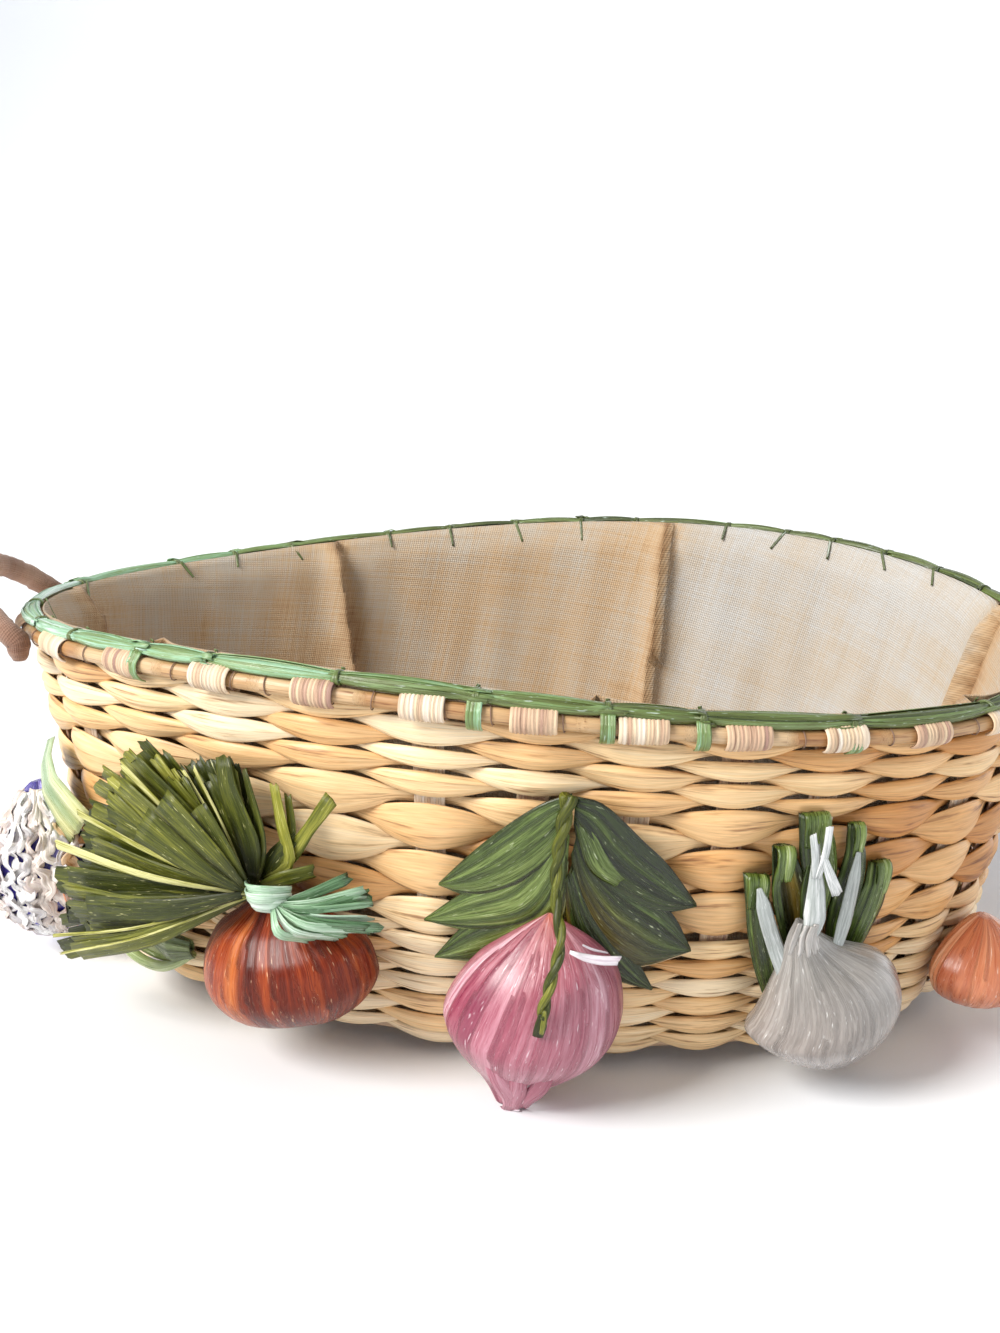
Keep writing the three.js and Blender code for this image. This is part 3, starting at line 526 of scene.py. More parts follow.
# Russet, wound over a stuffed core: satin red-brown, with an orange band like an onion's skin
russet = raffia_material(
    "Russet raffia", {0: "4A1204", 0.35: "742408", 0.62: "9C4014", 0.86: "C8743C", 1: "F2CCA4"},
    0.28, 0.18, 0.9, level=0.25, second={0: "B4501C", 0.5: "D87A34", 1: "F0B070"})

# Bleached, wound over a stuffed core: pearly grey-white, browner low down
pearl = raffia_material(
    "Pearl raffia", {0: "77736E", 0.35: "9B9690", 0.7: "BEB9B4", 1: "FDFCFA"},
    0.22, 0.8, 1.1, second={0: "705C55", 0.5: "97837A", 1: "DCD0C8"})

# Bleached strip rolled into thin hollow sprouts: glossy, grey where what lies behind shows through
glassy = raffia_material(
    "Clear rolled raffia", {0: "767C78", 0.4: "979D99", 0.7: "B8BEBB", 1: "FFFFFF"}, 0.24, 0.6, 0.9)

# Lilac, left loose: glossy and nearly white
lilac = raffia_material(
    "Lilac raffia", {0: "B890A8", 0.5: "D4B4C8", 0.8: "E8D4E0", 1: "FBF4F8"}, 0.26, 0.6, 0.9)

# Salmon, wound over a stuffed core: glossy orange-pink
salmon = raffia_material(
    "Salmon raffia", {0: "B45A34", 0.4: "D88458", 0.7: "EBAE88", 1: "FBE0CC"}, 0.3, 0.45, 0.9)

# Violet, wound over a stuffed core: glossy, near blue in its folds
violet = raffia_material(
    "Violet raffia", {0: "1E1848", 0.4: "3E329A", 0.7: "6658C4", 1: "B8AEE8"}, 0.24, 0.6, 0.8)

# Celadon, pressed flat for one leaf: glossy pale green that turns yellow towards its end
celadon = raffia_material(
    "Celadon raffia", {0: "5E7A48", 0.4: "8AA874", 0.7: "B8CCA0", 1: "F0F6DE"},
    0.3, 0.4, 0.7, second={0: "A8A848", 0.5: "D4D07C", 1: "F4F0B8"})

# Bleached strip crumpled into frills: glossy white with lilac-grey hollows, and a few strips tan
frost = raffia_material(
    "Frilled white raffia", {0: "8E88A4", 0.35: "BDB6C2", 0.7: "E0DAD8", 1: "FFFFFF"},
    0.28, 0.6, 0.9, second={0: "A06A34", 0.5: "D09A60", 1: "F0D0A0"})

# The weave
LOW_ROWS = 12
WIDE_ROWS = 6
FINE_ROWS = 6
WIDE = 10.1
FINE = 5.4
START = 16.966
END = ROD_ALONG - ROD_RADIUS
LOW = (END - START - WIDE_ROWS * WIDE - FINE_ROWS * FINE) / LOW_ROWS
COURSES = np.array([LOW] * LOW_ROWS + [WIDE] * WIDE_ROWS + [FINE] * FINE_ROWS)
STARTS = START + np.append(0, np.cumsum(COURSES)[:-1])
STEM_THICK = 2.6
EDGE_GAP = 0.1
LEAST_SWAY = 2.9

# The mean tone of the stems in the rows below each of these, from pale at the foot to amber; the
# foot rows are paler partly as painted light, standing in for light thrown up off the floor
ROW_TONES_AND_FOOT_LIGHT = {5: 0.02, 9: 0.12, 12: 0.38, 17: 0.6, 24: 0.48}
# From its middle to either face a stem is this thick, and it puffs out by this much more where it
# floats. At a crossing it keeps at least the neck's share of its width.
STEM_HALF = 1.1
STEM_PUFF = 1.6
STEM_NECK = 0.32
# Its grain map runs this far from place to place
GRAIN_STEP = 20


def edge_sway(along):
    """How far a stem sways to clear both edges of every stake, where it runs straight from one to
    the crossing beside it."""
    turns = PLACES[::2]
    level = unit(np.stack([np.cos(turns) / FOOT_LENGTH, np.sin(turns) / FOOT_WIDTH, 0 * turns], 1))
    half = 0.5 * np.interp(along, [HOOP_ALONG, ARC_LENGTH], [STAKE_FOOT, STAKE_WIDTH])
    most = 0.0
    for beside in (PLACES[1::2], np.roll(PLACES, 1)[::2]):
        run = on_wall(beside, along, 0) - on_wall(turns, along, 0)
        drop = -(run * level).sum(1)
        part = half / np.sqrt((run ** 2).sum(1) - drop ** 2)
        most = max(most, ((STEM_THICK / 2 + drop * part + EDGE_GAP) / (1 - part)).max())
    return most


def sway(row):
    """How far a stem swings out and in, more on the curve at the foot."""
    height = 2 * COURSES[row]
    curved = min(1, max(0, (ARC_LENGTH - STARTS[row] + height / 4) / height))
    least = max(LEAST_SWAY, edge_sway(STARTS[row] + COURSES[row] / 2))
    return least + curved * height ** 2 / (8 * CORNER)


def weave_row(row):
    """One flattened stem that floats in front of a stake as a puffed pointed lens, and pinches to
    a neck as it dives behind the next."""
    steps_a_place = 6
    points_across = 11
    p = np.arange(0, 2 * STAKES, 1 / steps_a_place)
    first = 0 if row % 2 == 0 else 2
    near = np.round((p - first) / 4)
    d = p - first - 4 * near
    number = near.astype(int) % (STAKES // 2)
    bow = np.cos(math.pi * d / 2)
    lens = np.maximum(STEM_NECK, 1 - 0.46 * np.abs(d) ** 1.8)
    puffed = np.clip(1 - (np.abs(d) / 1.5) ** 2, 0, 1)
    v = -np.cos(math.pi * np.arange(points_across) / (points_across - 1))
    course = COURSES[row]
    below = min(course, COURSES[row - 1]) if row else 0
    above = min(course, COURSES[row + 1]) if row + 1 < len(COURSES) else 0
    zone = next(tone for end, tone in ROW_TONES_AND_FOOT_LIGHT.items() if row < end)
    traits = []
    for each in range(STAKES // 2):
        rng = random.Random(row * 101 + each * 7 + 5)
        # Painted light: above the tenth row the stems are paler towards the left end, where the window
        # light falls
        painted_light_share = 0.5 - 0.5 * math.cos(place_turn(first + 4 * each) - math.radians(25))
        traits.append([
            min(0.98, max(0.0, rng.gauss(zone - 0.32 * painted_light_share * (row > 9), 0.13))),
            rng.uniform(0.94, 1.04) if rng.random() < 0.88 else rng.uniform(0.76, 0.86),
            rng.uniform(-0.4, 0.4), rng.uniform(0, 6.3), rng.uniform(1.6, 3.4),
            rng.uniform(-0.5, 0.5),
        ])
    tone, belly, lean, folds, pace, tilt = np.array(traits)[number].T
    low = (course / 2 + below / 2) * lens * belly
    high = (course / 2 + above / 2) * lens * belly
    mid = STARTS[row] + course / 2 + tilt * d * puffed
    reach = np.where(v[None] < 0, low[:, None], high[:, None]) * v[None]
    plump = np.clip(1 - (v[None] - lean[:, None] * (1 - v[None] ** 2)) ** 2, 0, 1) ** 0.6
    body = STEM_HALF * plump
    wave = np.sin(pace[:, None] * v[None] * 2.2 + folds[:, None])
    valley = -0.55 * np.exp(-((v[None] - lean[:, None]) / 0.13) ** 2)
    ridges = (0.34 * wave + valley) * (1 - v[None] ** 2)
    centre = sway(row) * bow
    outer = centre[:, None] + body + puffed[:, None] * (STEM_PUFF * plump + ridges)
    inner = centre[:, None] - body - 0.5 * np.clip(-bow, 0, 1)[:, None] * plump
    turn = place_turn(p)[:, None]
    along = mid[:, None] + reach
    rings = np.concatenate([on_wall(turn, along, outer),
                            on_wall(turn, along, inner)[:, -2:0:-1]], 1)
    distance = np.append(p, 2 * STAKES) * GRAIN_STEP + row * 313
    width = (v + 1) * 6 + row * 41
    work = Work()
    work.shell(rings, distance, np.concatenate([width, width[-2::-1]]), tone, loop=True)
    work.make(f"hyacinth_weaver_{row + 1:02d}", straw, "straw_weavers", f"weaver_{row + 1:02d}")


for row in range(len(COURSES)):
    weave_row(row)

# The stakes are straps of strands laid side by side
STRANDS = 11
STRAP_THICK = 0.9
STRAP_ROWS = 26
HOOK_RADIUS = ROD_RADIUS + 1.5
HOOP_THICK = 3.6
# Half a strap's width at its foot and under the rod
STRAP_FOOT = 5.6
STRAP_TOP = 6.2


def away_from_wall(turn):
    return unit(on_wall(turn, ROD_ALONG, 1) - on_wall(turn, ROD_ALONG, 0))


def strand_tones(rng, v, tone):
    """A tone for each strand across a strap, front and back."""
    strands = np.floor((v + 1) / 2 * (STRANDS - 0.01)).astype(int)
    shades = np.array([rng.gauss(tone, 0.1) for _ in range(STRANDS)])[strands]
    return np.concatenate([shades, shades[::-1]])[None]


def stake_straps():
    """Each strap rises behind and in front of the stems and hooks over the rod, and all of them
    start from a hoop round the base."""
    work = Work()
    v = np.linspace(-1, 1, 3 * STRANDS + 1)
    ripple = 0.45 * np.abs(np.sin(math.pi * STRANDS * (v + 1) / 2)) + 0.1
    edge = (1 - np.abs(v) ** 8) * 0.8 + 0.2
    hook = np.radians(np.linspace(180, -66, 14))
    along = np.append(np.linspace(HOOP_ALONG, ROD_ALONG - 1, STRAP_ROWS),
                      ROD_ALONG + HOOK_RADIUS * np.sin(hook))
    out = np.append(np.zeros(STRAP_ROWS), ROD_OUT + HOOK_RADIUS * np.cos(hook))
    line = np.stack([along, out], 1)
    ahead = unit(np.gradient(line, axis=0))
    normal = np.stack([-ahead[:, 1], ahead[:, 0]], 1)
    length = lengths_along(line)
    for number, turn in enumerate(PLACES[::2]):
        rng = random.Random(number + 40)
        wide = rng.uniform(8.2, 9.4)
        half = np.interp(along, [0, ROD_ALONG - 9, ROD_ALONG - 5], [STRAP_FOOT, STRAP_TOP, wide])
        away = away_from_wall(turn)
        across = unit([away[1], -away[0], 0])
        faces = []
        for sign in (-1.0, 1.0):
            shift = sign * (STRAP_THICK * 0.35 + ripple)[None] * edge[None]
            base = on_wall(turn, along[:, None] + normal[:, 0:1] * shift,
                           out[:, None] + normal[:, 1:2] * shift)
            faces.append(base + across * (v[None] * half[:, None])[..., None])
        width = v * 8 + number * 17
        work.shell(np.concatenate([faces[0], faces[1][:, ::-1]], 1),
                   np.append(length, length[-1]), np.concatenate([width, width[::-1], width[:1]]),
                   strand_tones(rng, v, 0.56 if number % 2 else 0.28))
    angle = np.radians(np.linspace(0, 360, 9)[:-1])
    turns = place_turn(np.arange(0, 2 * STAKES, 0.5))[:, None]
    rings = on_wall(turns, HOOP_ALONG + HOOP_WIDTH / 2 * np.sin(angle),
                    HOOP_THICK / 2 * np.cos(angle))
    work.shell(rings, np.arange(len(turns) + 1) * 10.0, np.linspace(0, 12, 9), 0.5, loop=True)
    work.make("abaca_stake_straps", strap_fibre, "wrapped_stakes", "stake_frame")


stake_straps()


# The rim
def rim_cane():
    """A round cane that swells and shrinks a little, with a new length of stem every two places."""
    work = Work()
    sides = 14
    angle = 2 * math.pi * np.arange(sides) / sides
    p = np.arange(0, 2 * STAKES, 0.25)
    rng = np.random.default_rng(3)
    knots = rng.normal(0, 0.16, len(p) // 4)
    swell = np.interp(p, np.arange(len(knots) + 1) * (2 * STAKES / len(knots)),
                      np.append(knots, knots[0]))
    radius = (ROD_RADIUS - 0.15 + swell)[:, None]
    rings = on_wall(place_turn(p)[:, None], ROD_ALONG + radius * np.sin(angle),
                    ROD_OUT + radius * np.cos(angle))
    shades = np.clip(rng.normal(0.42, 0.16, STAKES), 0.1, 0.85)
    tone = shades[np.floor((p + 1) / 2).astype(int) % STAKES]
    work.shell(rings, np.append(p, 2 * STAKES) * 22, np.linspace(0, 21, sides + 1), tone, loop=True)
    work.make("rim_cane", cane, "straw_rod", "rim_rod")


rim_cane()

# Where the edging is tied round the rim, in degrees, and the ties that also go over the cane
KNOTS = [203.8, 215.8, 229.2, 239.0, 254.8, 269.5, 282.8, 292.5, 309.5, 329.8, 346.0, 3.0, 21.5,
         30.5, 40.2, 49.0, 56.5, 65.8, 79.8, 88.0, 97.8, 107.8, 117.2, 132.8, 142.2, 152.2, 172.0,
         188.0]
LONG_KNOTS = [269.5, 282.8, 292.5, 309.5, 229.2, 346.0, 40.2, 88.0, 132.8, 188.0]

# The edging's middle, out from the wall's middle line and up from the top of the hooks
EDGE_OUT = 2.8
EDGE_UP = -0.5


def rim_point(turn, up, out):
    return on_wall(turn, RIM_TOP + up, out)


def rim_overcast():
    """Raffia strips lie along the top of the rim from knot to knot over a soft core, each end
    tucked under the next one's tie."""
    work = Work()
    strips = 9
    steps = 14
    knots = sorted(math.radians(k) for k in KNOTS)
    for number, begin in enumerate(knots):
        finish = knots[(number + 1) % len(knots)]
        if finish < begin:
            finish += 2 * math.pi
        rng = random.Random(number + 900)
        share = 0.5 - 0.5 * math.cos(0.5 * (begin + finish) - math.radians(15))
        for strip in range(strips):
            lay = math.radians(-55 + 190 * (strip + rng.uniform(-0.3, 0.3)) / (strips - 1))
            part = np.linspace(-0.06, rng.uniform(0.97, 1.12), steps)
            turn = begin + (finish - begin) * part
            squeeze = 0.6 + 0.62 * np.sin(math.pi * np.clip(part, 0.02, 0.98)) ** 0.7
            radius_out = 3.2 * squeeze + rng.uniform(-0.2, 0.4)
            radius_up = 1.7 * squeeze + rng.uniform(-0.15, 0.25 + 0.5 * (1 - share))
            angle = lay + rng.uniform(-0.25, 0.25) * part
            out = EDGE_OUT + radius_out * np.cos(angle)
            up = EDGE_UP + radius_up * np.sin(angle)
            if rng.random() < 0.3 + 0.3 * share:
                out[-2:] += rng.uniform(0.4, 2.0)
                up[-2:] += rng.uniform(-0.4, 1.6)
            spine = rim_point(turn, up, out)
            normal = unit(rim_point(turn, up + np.sin(angle), out + np.cos(angle)) - spine)
            across = unit(np.cross(normal, np.gradient(spine, axis=0)))
            width = rng.uniform(2.0, 3.2) * (0.75 + 0.25 * squeeze)
            tone = 0.14 + 0.62 * share ** 2.4 + rng.gauss(0, 0.1)
            ribbon(work, spine, across, normal, width, tone, thick=0.35, ridge=0.16,
                   fray=rng.uniform(0.6, 3.0), sides=5, seed=number * 31 + strip)
    angle = np.radians(np.arange(0, 360, 45))
    core = rim_point(LAP[:-1:12][:, None], EDGE_UP + 1.1 * np.sin(angle),
                     EDGE_OUT + 2.4 * np.cos(angle))
    work.shell(core, np.arange(len(core) + 1) * 5.0, np.linspace(0, 16, 9), 0.25, loop=True)
    work.make("raffia_overcast", rim_green, "rim_raffia", "rim_edging")


rim_overcast()


def rim_ties():
    """At each knot a strip is pulled tight round the edging, and its ends go down through the
    cloth inside and, at some, over the cane outside."""
    work = Work()
    over_cane = smooth_path([
        (RIM_TOP - 0.5, 6.2), (RIM_TOP - 2.4, 8.4), (ROD_ALONG + 2.2, 10.0),
        (ROD_ALONG - 1.2, 10.6), (ROD_ALONG - 4.4, 9.0), (ROD_ALONG - 6.4, 6.4)], 14)
    for number, degrees in enumerate(KNOTS):
        rng = random.Random(number + 77)
        turn = math.radians(degrees)
        tone = 0.1 + 0.2 * (0.5 - 0.5 * math.cos(turn - math.radians(15)))
        for twist in (-0.006, 0.006):
            angle = np.radians(np.linspace(-70, 250, 16))
            out = EDGE_OUT + 3.5 * np.cos(angle)
            up = EDGE_UP + 2.3 * np.sin(angle)
            spine = rim_point(turn + twist * np.linspace(-1, 1, 16), up, out)
            normal = unit(rim_point(turn, up + np.sin(angle), out + np.cos(angle))
                          - rim_point(turn, up, out))
            across = unit(np.cross(normal, np.gradient(spine, axis=0)))
            ribbon(work, spine, across, normal, 1.7, tone, thick=0.5, ridge=0.1, sides=4,
                   seed=number * 3 + int(twist > 0))
        away = away_from_wall(turn)
        slant = rng.uniform(-0.035, 0.035)
        reach = rng.uniform(7, 11)
        part = np.linspace(0, 1, 8)
        spine = on_wall(turn + slant * part, RIM_TOP + 1 - reach * part, -2.4 - 3.4 * part)
        normal = -away * np.ones((8, 1))
        across = unit(np.cross(normal, np.gradient(spine, axis=0)))
        ribbon(work, spine, across, normal, 1.6 * (1 - 0.4 * part), tone, thick=0.5, sides=4,
               seed=number + 300)
        if degrees in LONG_KNOTS:
            level = np.array([away[1], -away[0], 0]) * np.ones((14, 1))
            for strand in range(4):
                spine = (on_wall(turn, over_cane[:, 0], over_cane[:, 1])
                         + level * (strand - 1.5) * rng.uniform(1.15, 1.5))
                normal = unit(np.cross(level, np.gradient(spine, axis=0)))
                normal *= np.sign((normal * away).sum(1))[:, None]
                ribbon(work, spine, level, normal, 1.7, tone + rng.uniform(0.15, 0.42), thick=0.5,
                       ridge=0.1, sides=5, seed=number * 5 + strand)
    work.make("raffia_ties", rim_green, "rim_raffia")


rim_ties()


def cane_threads():
    """Fine dark threads bind the cane to the wall between the straps."""
    work = Work()
    radius = ROD_RADIUS + 0.35
    for number in range(2 * STAKES):
        rng = random.Random(number + 11)
        p = number + rng.uniform(-0.15, 0.15) + (0.5 if number % 2 == 0 else 0.1)
        angle = np.radians(np.linspace(-120, 130, 16))
        path = on_wall(place_turn(p) + np.linspace(-0.004, 0.004, 16) * rng.choice((-1, 1)),
                       ROD_ALONG + radius * np.sin(angle), ROD_OUT + radius * np.cos(angle))
        tube(work, path, 0.28, 0.9, sides=5)
    work.make("cane_threads", strap_thread, "wrapped_stakes")


cane_threads()

# The lining's folds, by their turn in degrees at the rim and at the foot, and the painted light or
# shade of the panel before each: paler on the lit panel, darker on the shaded ones
FOLD_TOPS = np.radians([13.0, 74.0, 125.5, 176.0, 229.0, 281.0, 329.0])
FOLD_FEET = np.radians([24.0, 75.5, 120.0, 170.0, 226.0, 282.0, 333.0])
PANEL_PAINTED_LIGHT = np.array([0.05, -0.24, 0.06, 0.08, 0.1, 0.05, 0.0])

# The lining hangs this far inside the wall's middle line, and less where it rises to the rim
CLOTH_CLEAR = 5.2
CLOTH_CLEAR_TOP = 1.9
CLOTH_THICK = 0.8
# Turns to millimetres round the wall, as a mean
TURN_MM = 190


def lining_row(turn, height):
    """One row of the cloth's points at a height up the wall, and its tones, which carry painted shade
    by the folds and painted light or shade on each panel. Below the wall the
    height is minus the share of the floor that is crossed, in hundredths."""
    up = max(0.0, height) / RIM_TOP
    folds = np.sort(FOLD_FEET + (FOLD_TOPS - FOLD_FEET) * up)
    k = np.searchsorted(folds, turn) % len(folds)
    past = np.where(turn > folds[-1], 2 * math.pi, 0)
    gap = (folds[k] + past - turn) * TURN_MM
    since = (turn - folds[k - 1] + np.where(k == 0, 2 * math.pi, 0) - past) * TURN_MM
    # Painted shade: the cloth darkens beside each fold, where the proud panel edge shades the next
    # panel. It is also darker towards the floor.
    panel = PANEL_PAINTED_LIGHT[k]
    brown = 0.34 * np.exp(-gap / 7) + 0.22 * np.exp(-(since / 4) ** 2) + 0.12 * np.exp(-since / 30)
    tones = 0.34 + panel + brown + 0.14 * (1 - up) ** 2
    if height < 0:
        shrink = 1 + height / 100 * 0.94
        points = on_wall(turn, 0, -CLOTH_CLEAR)
        return MIDDLE + (points - MIDDLE) * np.array([shrink, shrink, 1]), tones
    strength = min(1.0, height / 22) * (1.0 - 0.45 * max(0.0, (up - 0.9) / 0.1))
    roll = 7.0 * np.exp(-(since / 8.0) ** 2) + 2.4 * np.exp(-since / 42)
    dip = -1.6 * np.exp(-(gap / 5) ** 2)
    wave = (0.9 * np.sin(turn * 17 + up * 2.1 + 1.3) + 0.7 * np.sin(turn * 31 - up * 3 + 0.4)
            + 0.5 * np.sin(turn * 53 + up * 5)) * (0.2 + 0.4 * math.sin(math.pi * min(1, up)))
    fall = np.clip(strength * (roll + dip + wave + 1.2), 0.0, 20)
    clear = CLOTH_CLEAR - 3.4 * max(0.0, height - ROD_ALONG + 6) / 12
    return on_wall(turn, height, -(max(clear, CLOTH_CLEAR_TOP) + fall)), tones


def lining():
    """One sheet of cloth, folded into panels that lap over each other and stitched at the rim."""
    columns, rows = 560, 44
    turn = np.linspace(0, 2 * math.pi, columns, endpoint=False)
    heights = np.append(np.linspace(-1, 0, 9)[:-1] * 100, np.linspace(0, 1, rows) * RIM_TOP)
    made = [lining_row(turn, height) for height in heights]
    grid = np.array([points for points, _ in made])
    lengths = lengths_along(grid[:, 0])
    faces = []
    grain = []
    for i in range(len(heights) - 1):
        for j in range(columns):
            n = (j + 1) % columns
            faces.append((i * columns + j, i * columns + n, (i + 1) * columns + n,
                          (i + 1) * columns + j))
            grain += [(2.2 * (j + x) + 0.22 * lengths[i + y], lengths[i + y] - 0.33 * (j + x))
                      for x, y in ((0, 0), (1, 0), (1, 1), (0, 1))]
    faces.append(list(range(columns))[::-1])
    grain += [(j * 2.2, 0.0) for j in range(columns)][::-1]
    piece = new_piece("abaca_lining", grid.reshape(-1, 3), faces, grain,
                      tone=np.array([tones for _, tones in made]))
    cloth = piece.modifiers.new("Cloth thickness", "SOLIDIFY")
    cloth.thickness = CLOTH_THICK * MM
    cloth.offset = 1.0
    bpy.ops.object.modifier_apply(modifier=cloth.name)
    finish_piece(piece, abaca, "lining_cloth", "lining")


lining()

# The end rolls
ROLL_RADIUS = 5.2
ROLL_GAP = 0.1
ROLL_RISE = 22.0
ROLL_OUTSWING = 30
ROLL_LEG = 8.0


def end_roll(name, node, first, last):
    """A roll of brown cloth over a stuffed core, wrinkled across its bend."""
    leg_out = ROD_OUT + ROD_RADIUS + ROLL_RADIUS + ROLL_GAP
    a, b = (on_wall(place_turn(place), ROD_ALONG, leg_out) for place in (first, last))
    middle, half = (a + b) / 2, (b - a) / 2
    aside = np.array([math.copysign(1, middle[0] - MIDDLE[0]), 0, 0])
    angle = np.linspace(0, math.pi, 70)
    arch = (middle - half * np.cos(angle)[:, None]
            + np.array([0, 0, ROLL_RISE]) * np.sin(angle)[:, None]
            + aside * ROLL_OUTSWING * np.sin(angle)[:, None])
    legs = np.linspace(1, 0, 9)[:-1, None] * np.array([0, 0, -ROLL_LEG])
    path = np.concatenate([arch[0] + legs, arch, arch[-1] + legs[::-1]])
    ahead = unit(np.gradient(path, axis=0))
    across = unit(np.cross(ahead, aside))
    over = unit(np.cross(ahead, across))
    sides = 28
    spin = 2 * math.pi * np.arange(sides) / sides
    length = lengths_along(path)
    rng = np.random.default_rng(9 if name.endswith("left") else 10)
    phase = rng.random(6) * 6
    wrinkle = sum(
        (0.16 / (n + 1) ** 0.5)
        * np.sin(length[:, None] * (0.5 + 0.27 * n) + 2.2 * np.sin(spin + phase[n]) + phase[n])
        for n in range(6))
    ends = 1 - 0.45 * np.exp(-length / 2.5) - 0.45 * np.exp(-(length[-1] - length) / 2.5)
    radius = (ROLL_RADIUS * ends)[:, None] + wrinkle
    rings = (path[:, None] + across[:, None] * (radius * np.cos(spin))[..., None]
             + over[:, None] * (radius * np.sin(spin))[..., None])
    work = Work()
    work.shell(rings, np.append(length, length[-1]), np.linspace(0, 33, sides + 1),
               0.4 + 0.3 * np.sin(length / 9) ** 2)
    piece = work.make(name, brown_cloth, "lining_cloth", node)


LEFT_END = int(np.argmax(PLACES > math.pi))
LEFT_MIDDLE = LEFT_END - LEFT_END % 2 + 1
end_roll("cloth_roll_left", "handle_left", LEFT_MIDDLE - 2, LEFT_MIDDLE + 2)
end_roll("cloth_roll_right", "handle_right", -1, 3)


# The vegetables
class Place:
    """A place on the wall that a vegetable is sewn to. flat() works on the plane that touches the
    wall there and hug() bends round with the wall: x round it, y up it, z out from it, in mm."""

    def __init__(self, degrees, up):
        turn = math.radians(degrees)
        stretch = 1 + rim_rise(turn) / (ROD_HEIGHT - ARC_TOP)
        self.along = ARC_LENGTH + (up - ARC_TOP) / (math.sin(LEAN) * stretch)
        self.round = distance_at(turn)
        self.up = unit(on_wall(turn, self.along + 1, 0) - on_wall(turn, self.along, 0))
        level = unit([math.cos(turn) / FOOT_LENGTH, math.sin(turn) / FOOT_WIDTH, 0])
        self.away = unit(level - self.up * (self.up @ level))
        self.side = np.cross(self.up, self.away)
        self.origin = on_wall(turn, self.along, FACE)

    def flat(self, x, y, z):
        x, y, z = np.broadcast_arrays(*(np.asarray(a, float)[..., None] for a in (x, y, z)))
        return self.origin + x * self.side + y * self.up + z * self.away

    def hug(self, x, y, z):
        x, y, z = (np.asarray(a, float) for a in (x, y, z))
        return on_wall(turn_at(self.round + x), self.along + y, FACE + z)


def strip_pattern(rng, count, share):
    """How far across its strip each share of the width lies, and that strip's tone."""
    edges = np.cumsum([0] + [rng.uniform(0.5, 1.5) for _ in range(count)])
    edges = edges / edges[-1]
    index = np.clip(np.searchsorted(edges, share % 1.0, side="right") - 1, 0, count - 1)
    across = (share % 1.0 - edges[index]) / (edges[index + 1] - edges[index])
    tones = np.array([rng.gauss(0, 1) for _ in range(count)])
    return across, tones[index]


def bulb(work, place, left, right, depth, back, strips, seed, tone, spread, crease, ridge,
         kind=None, taper=0.8, tip_out=0.0):
    """A stuffed bulb wrapped in strips that run from its neck to its tip, given by its left and
    right outlines as (x, y) on its plane, its depth, and how much of that lies behind them."""
    rows, columns = 56, 140
    rng = random.Random(seed)
    a, b = even_path(left, rows, 0.6), even_path(right, rows, 0.6)
    middle, half = (a + b) / 2, (b - a) / 2
    width = np.maximum(np.linalg.norm(half, axis=1), 0.5)
    half = half * (width / np.maximum(np.linalg.norm(half, axis=1), 1e-6))[:, None]
    share = (width / width.max())[:, None]
    angle = np.linspace(-math.pi, math.pi, columns, endpoint=False)
    s = np.linspace(0, 1, rows)[:, None]
    wander = 0.05 * np.sin(4.2 * s + seed) + 0.02 * np.sin(11 * s + 2 * seed)
    across, shade = strip_pattern(rng, strips, (angle[None] + wander) / (2 * math.pi) + 0.5)
    lift = ridge * (0.9 - across) * np.sin(math.pi * np.clip(s, 0.02, 0.98)) ** 0.5
    for wave in range(7):
        count = 5 + 3 * wave
        lift = lift + (crease / (1 + 0.5 * wave) * np.exp(-s / 0.2)
                       * np.cos(count * angle[None] + rng.uniform(0, 6.3)))
        lift = lift + (0.22 / (1 + 0.4 * wave) * np.sin(math.pi * s)
                       * np.cos((1 + wave) * angle[None] + rng.uniform(0, 6.3) + 2.5 * s))
    lift = lift * np.clip(share * 2.2, 0.15, 1)
    front = np.cos(angle)[None]
    swell = np.where(front > 0, (depth - back) * share ** taper, back * share ** taper) * front + back
    swell = swell + tip_out * s ** 3
    unit_half = half / width[:, None]
    x = middle[:, :1] + half[:, :1] * np.sin(angle) + unit_half[:, :1] * lift * np.sin(angle)
    y = middle[:, 1:] + half[:, 1:] * np.sin(angle) + unit_half[:, 1:] * lift * np.sin(angle)
    z = np.maximum(0.1, swell + lift * front)
    rings = place.flat(x, y, z)
    length = lengths_along(middle)
    wrap = np.linspace(0, 2 * math.pi * 0.6 * width.max(), columns + 1)
    tones = tone + spread * shade - 0.16 * np.exp(-((across - 0.02) / 0.06) ** 2)
    kinds = 0.0 if kind is None else np.clip(kind(s, angle[None]), 0, 1)
    work.shell(rings, np.append(length, length[-1]) + seed * 31, wrap, tones, kind=kinds)


LEAF_ROWS = 22
LEAF_COLUMNS = 21


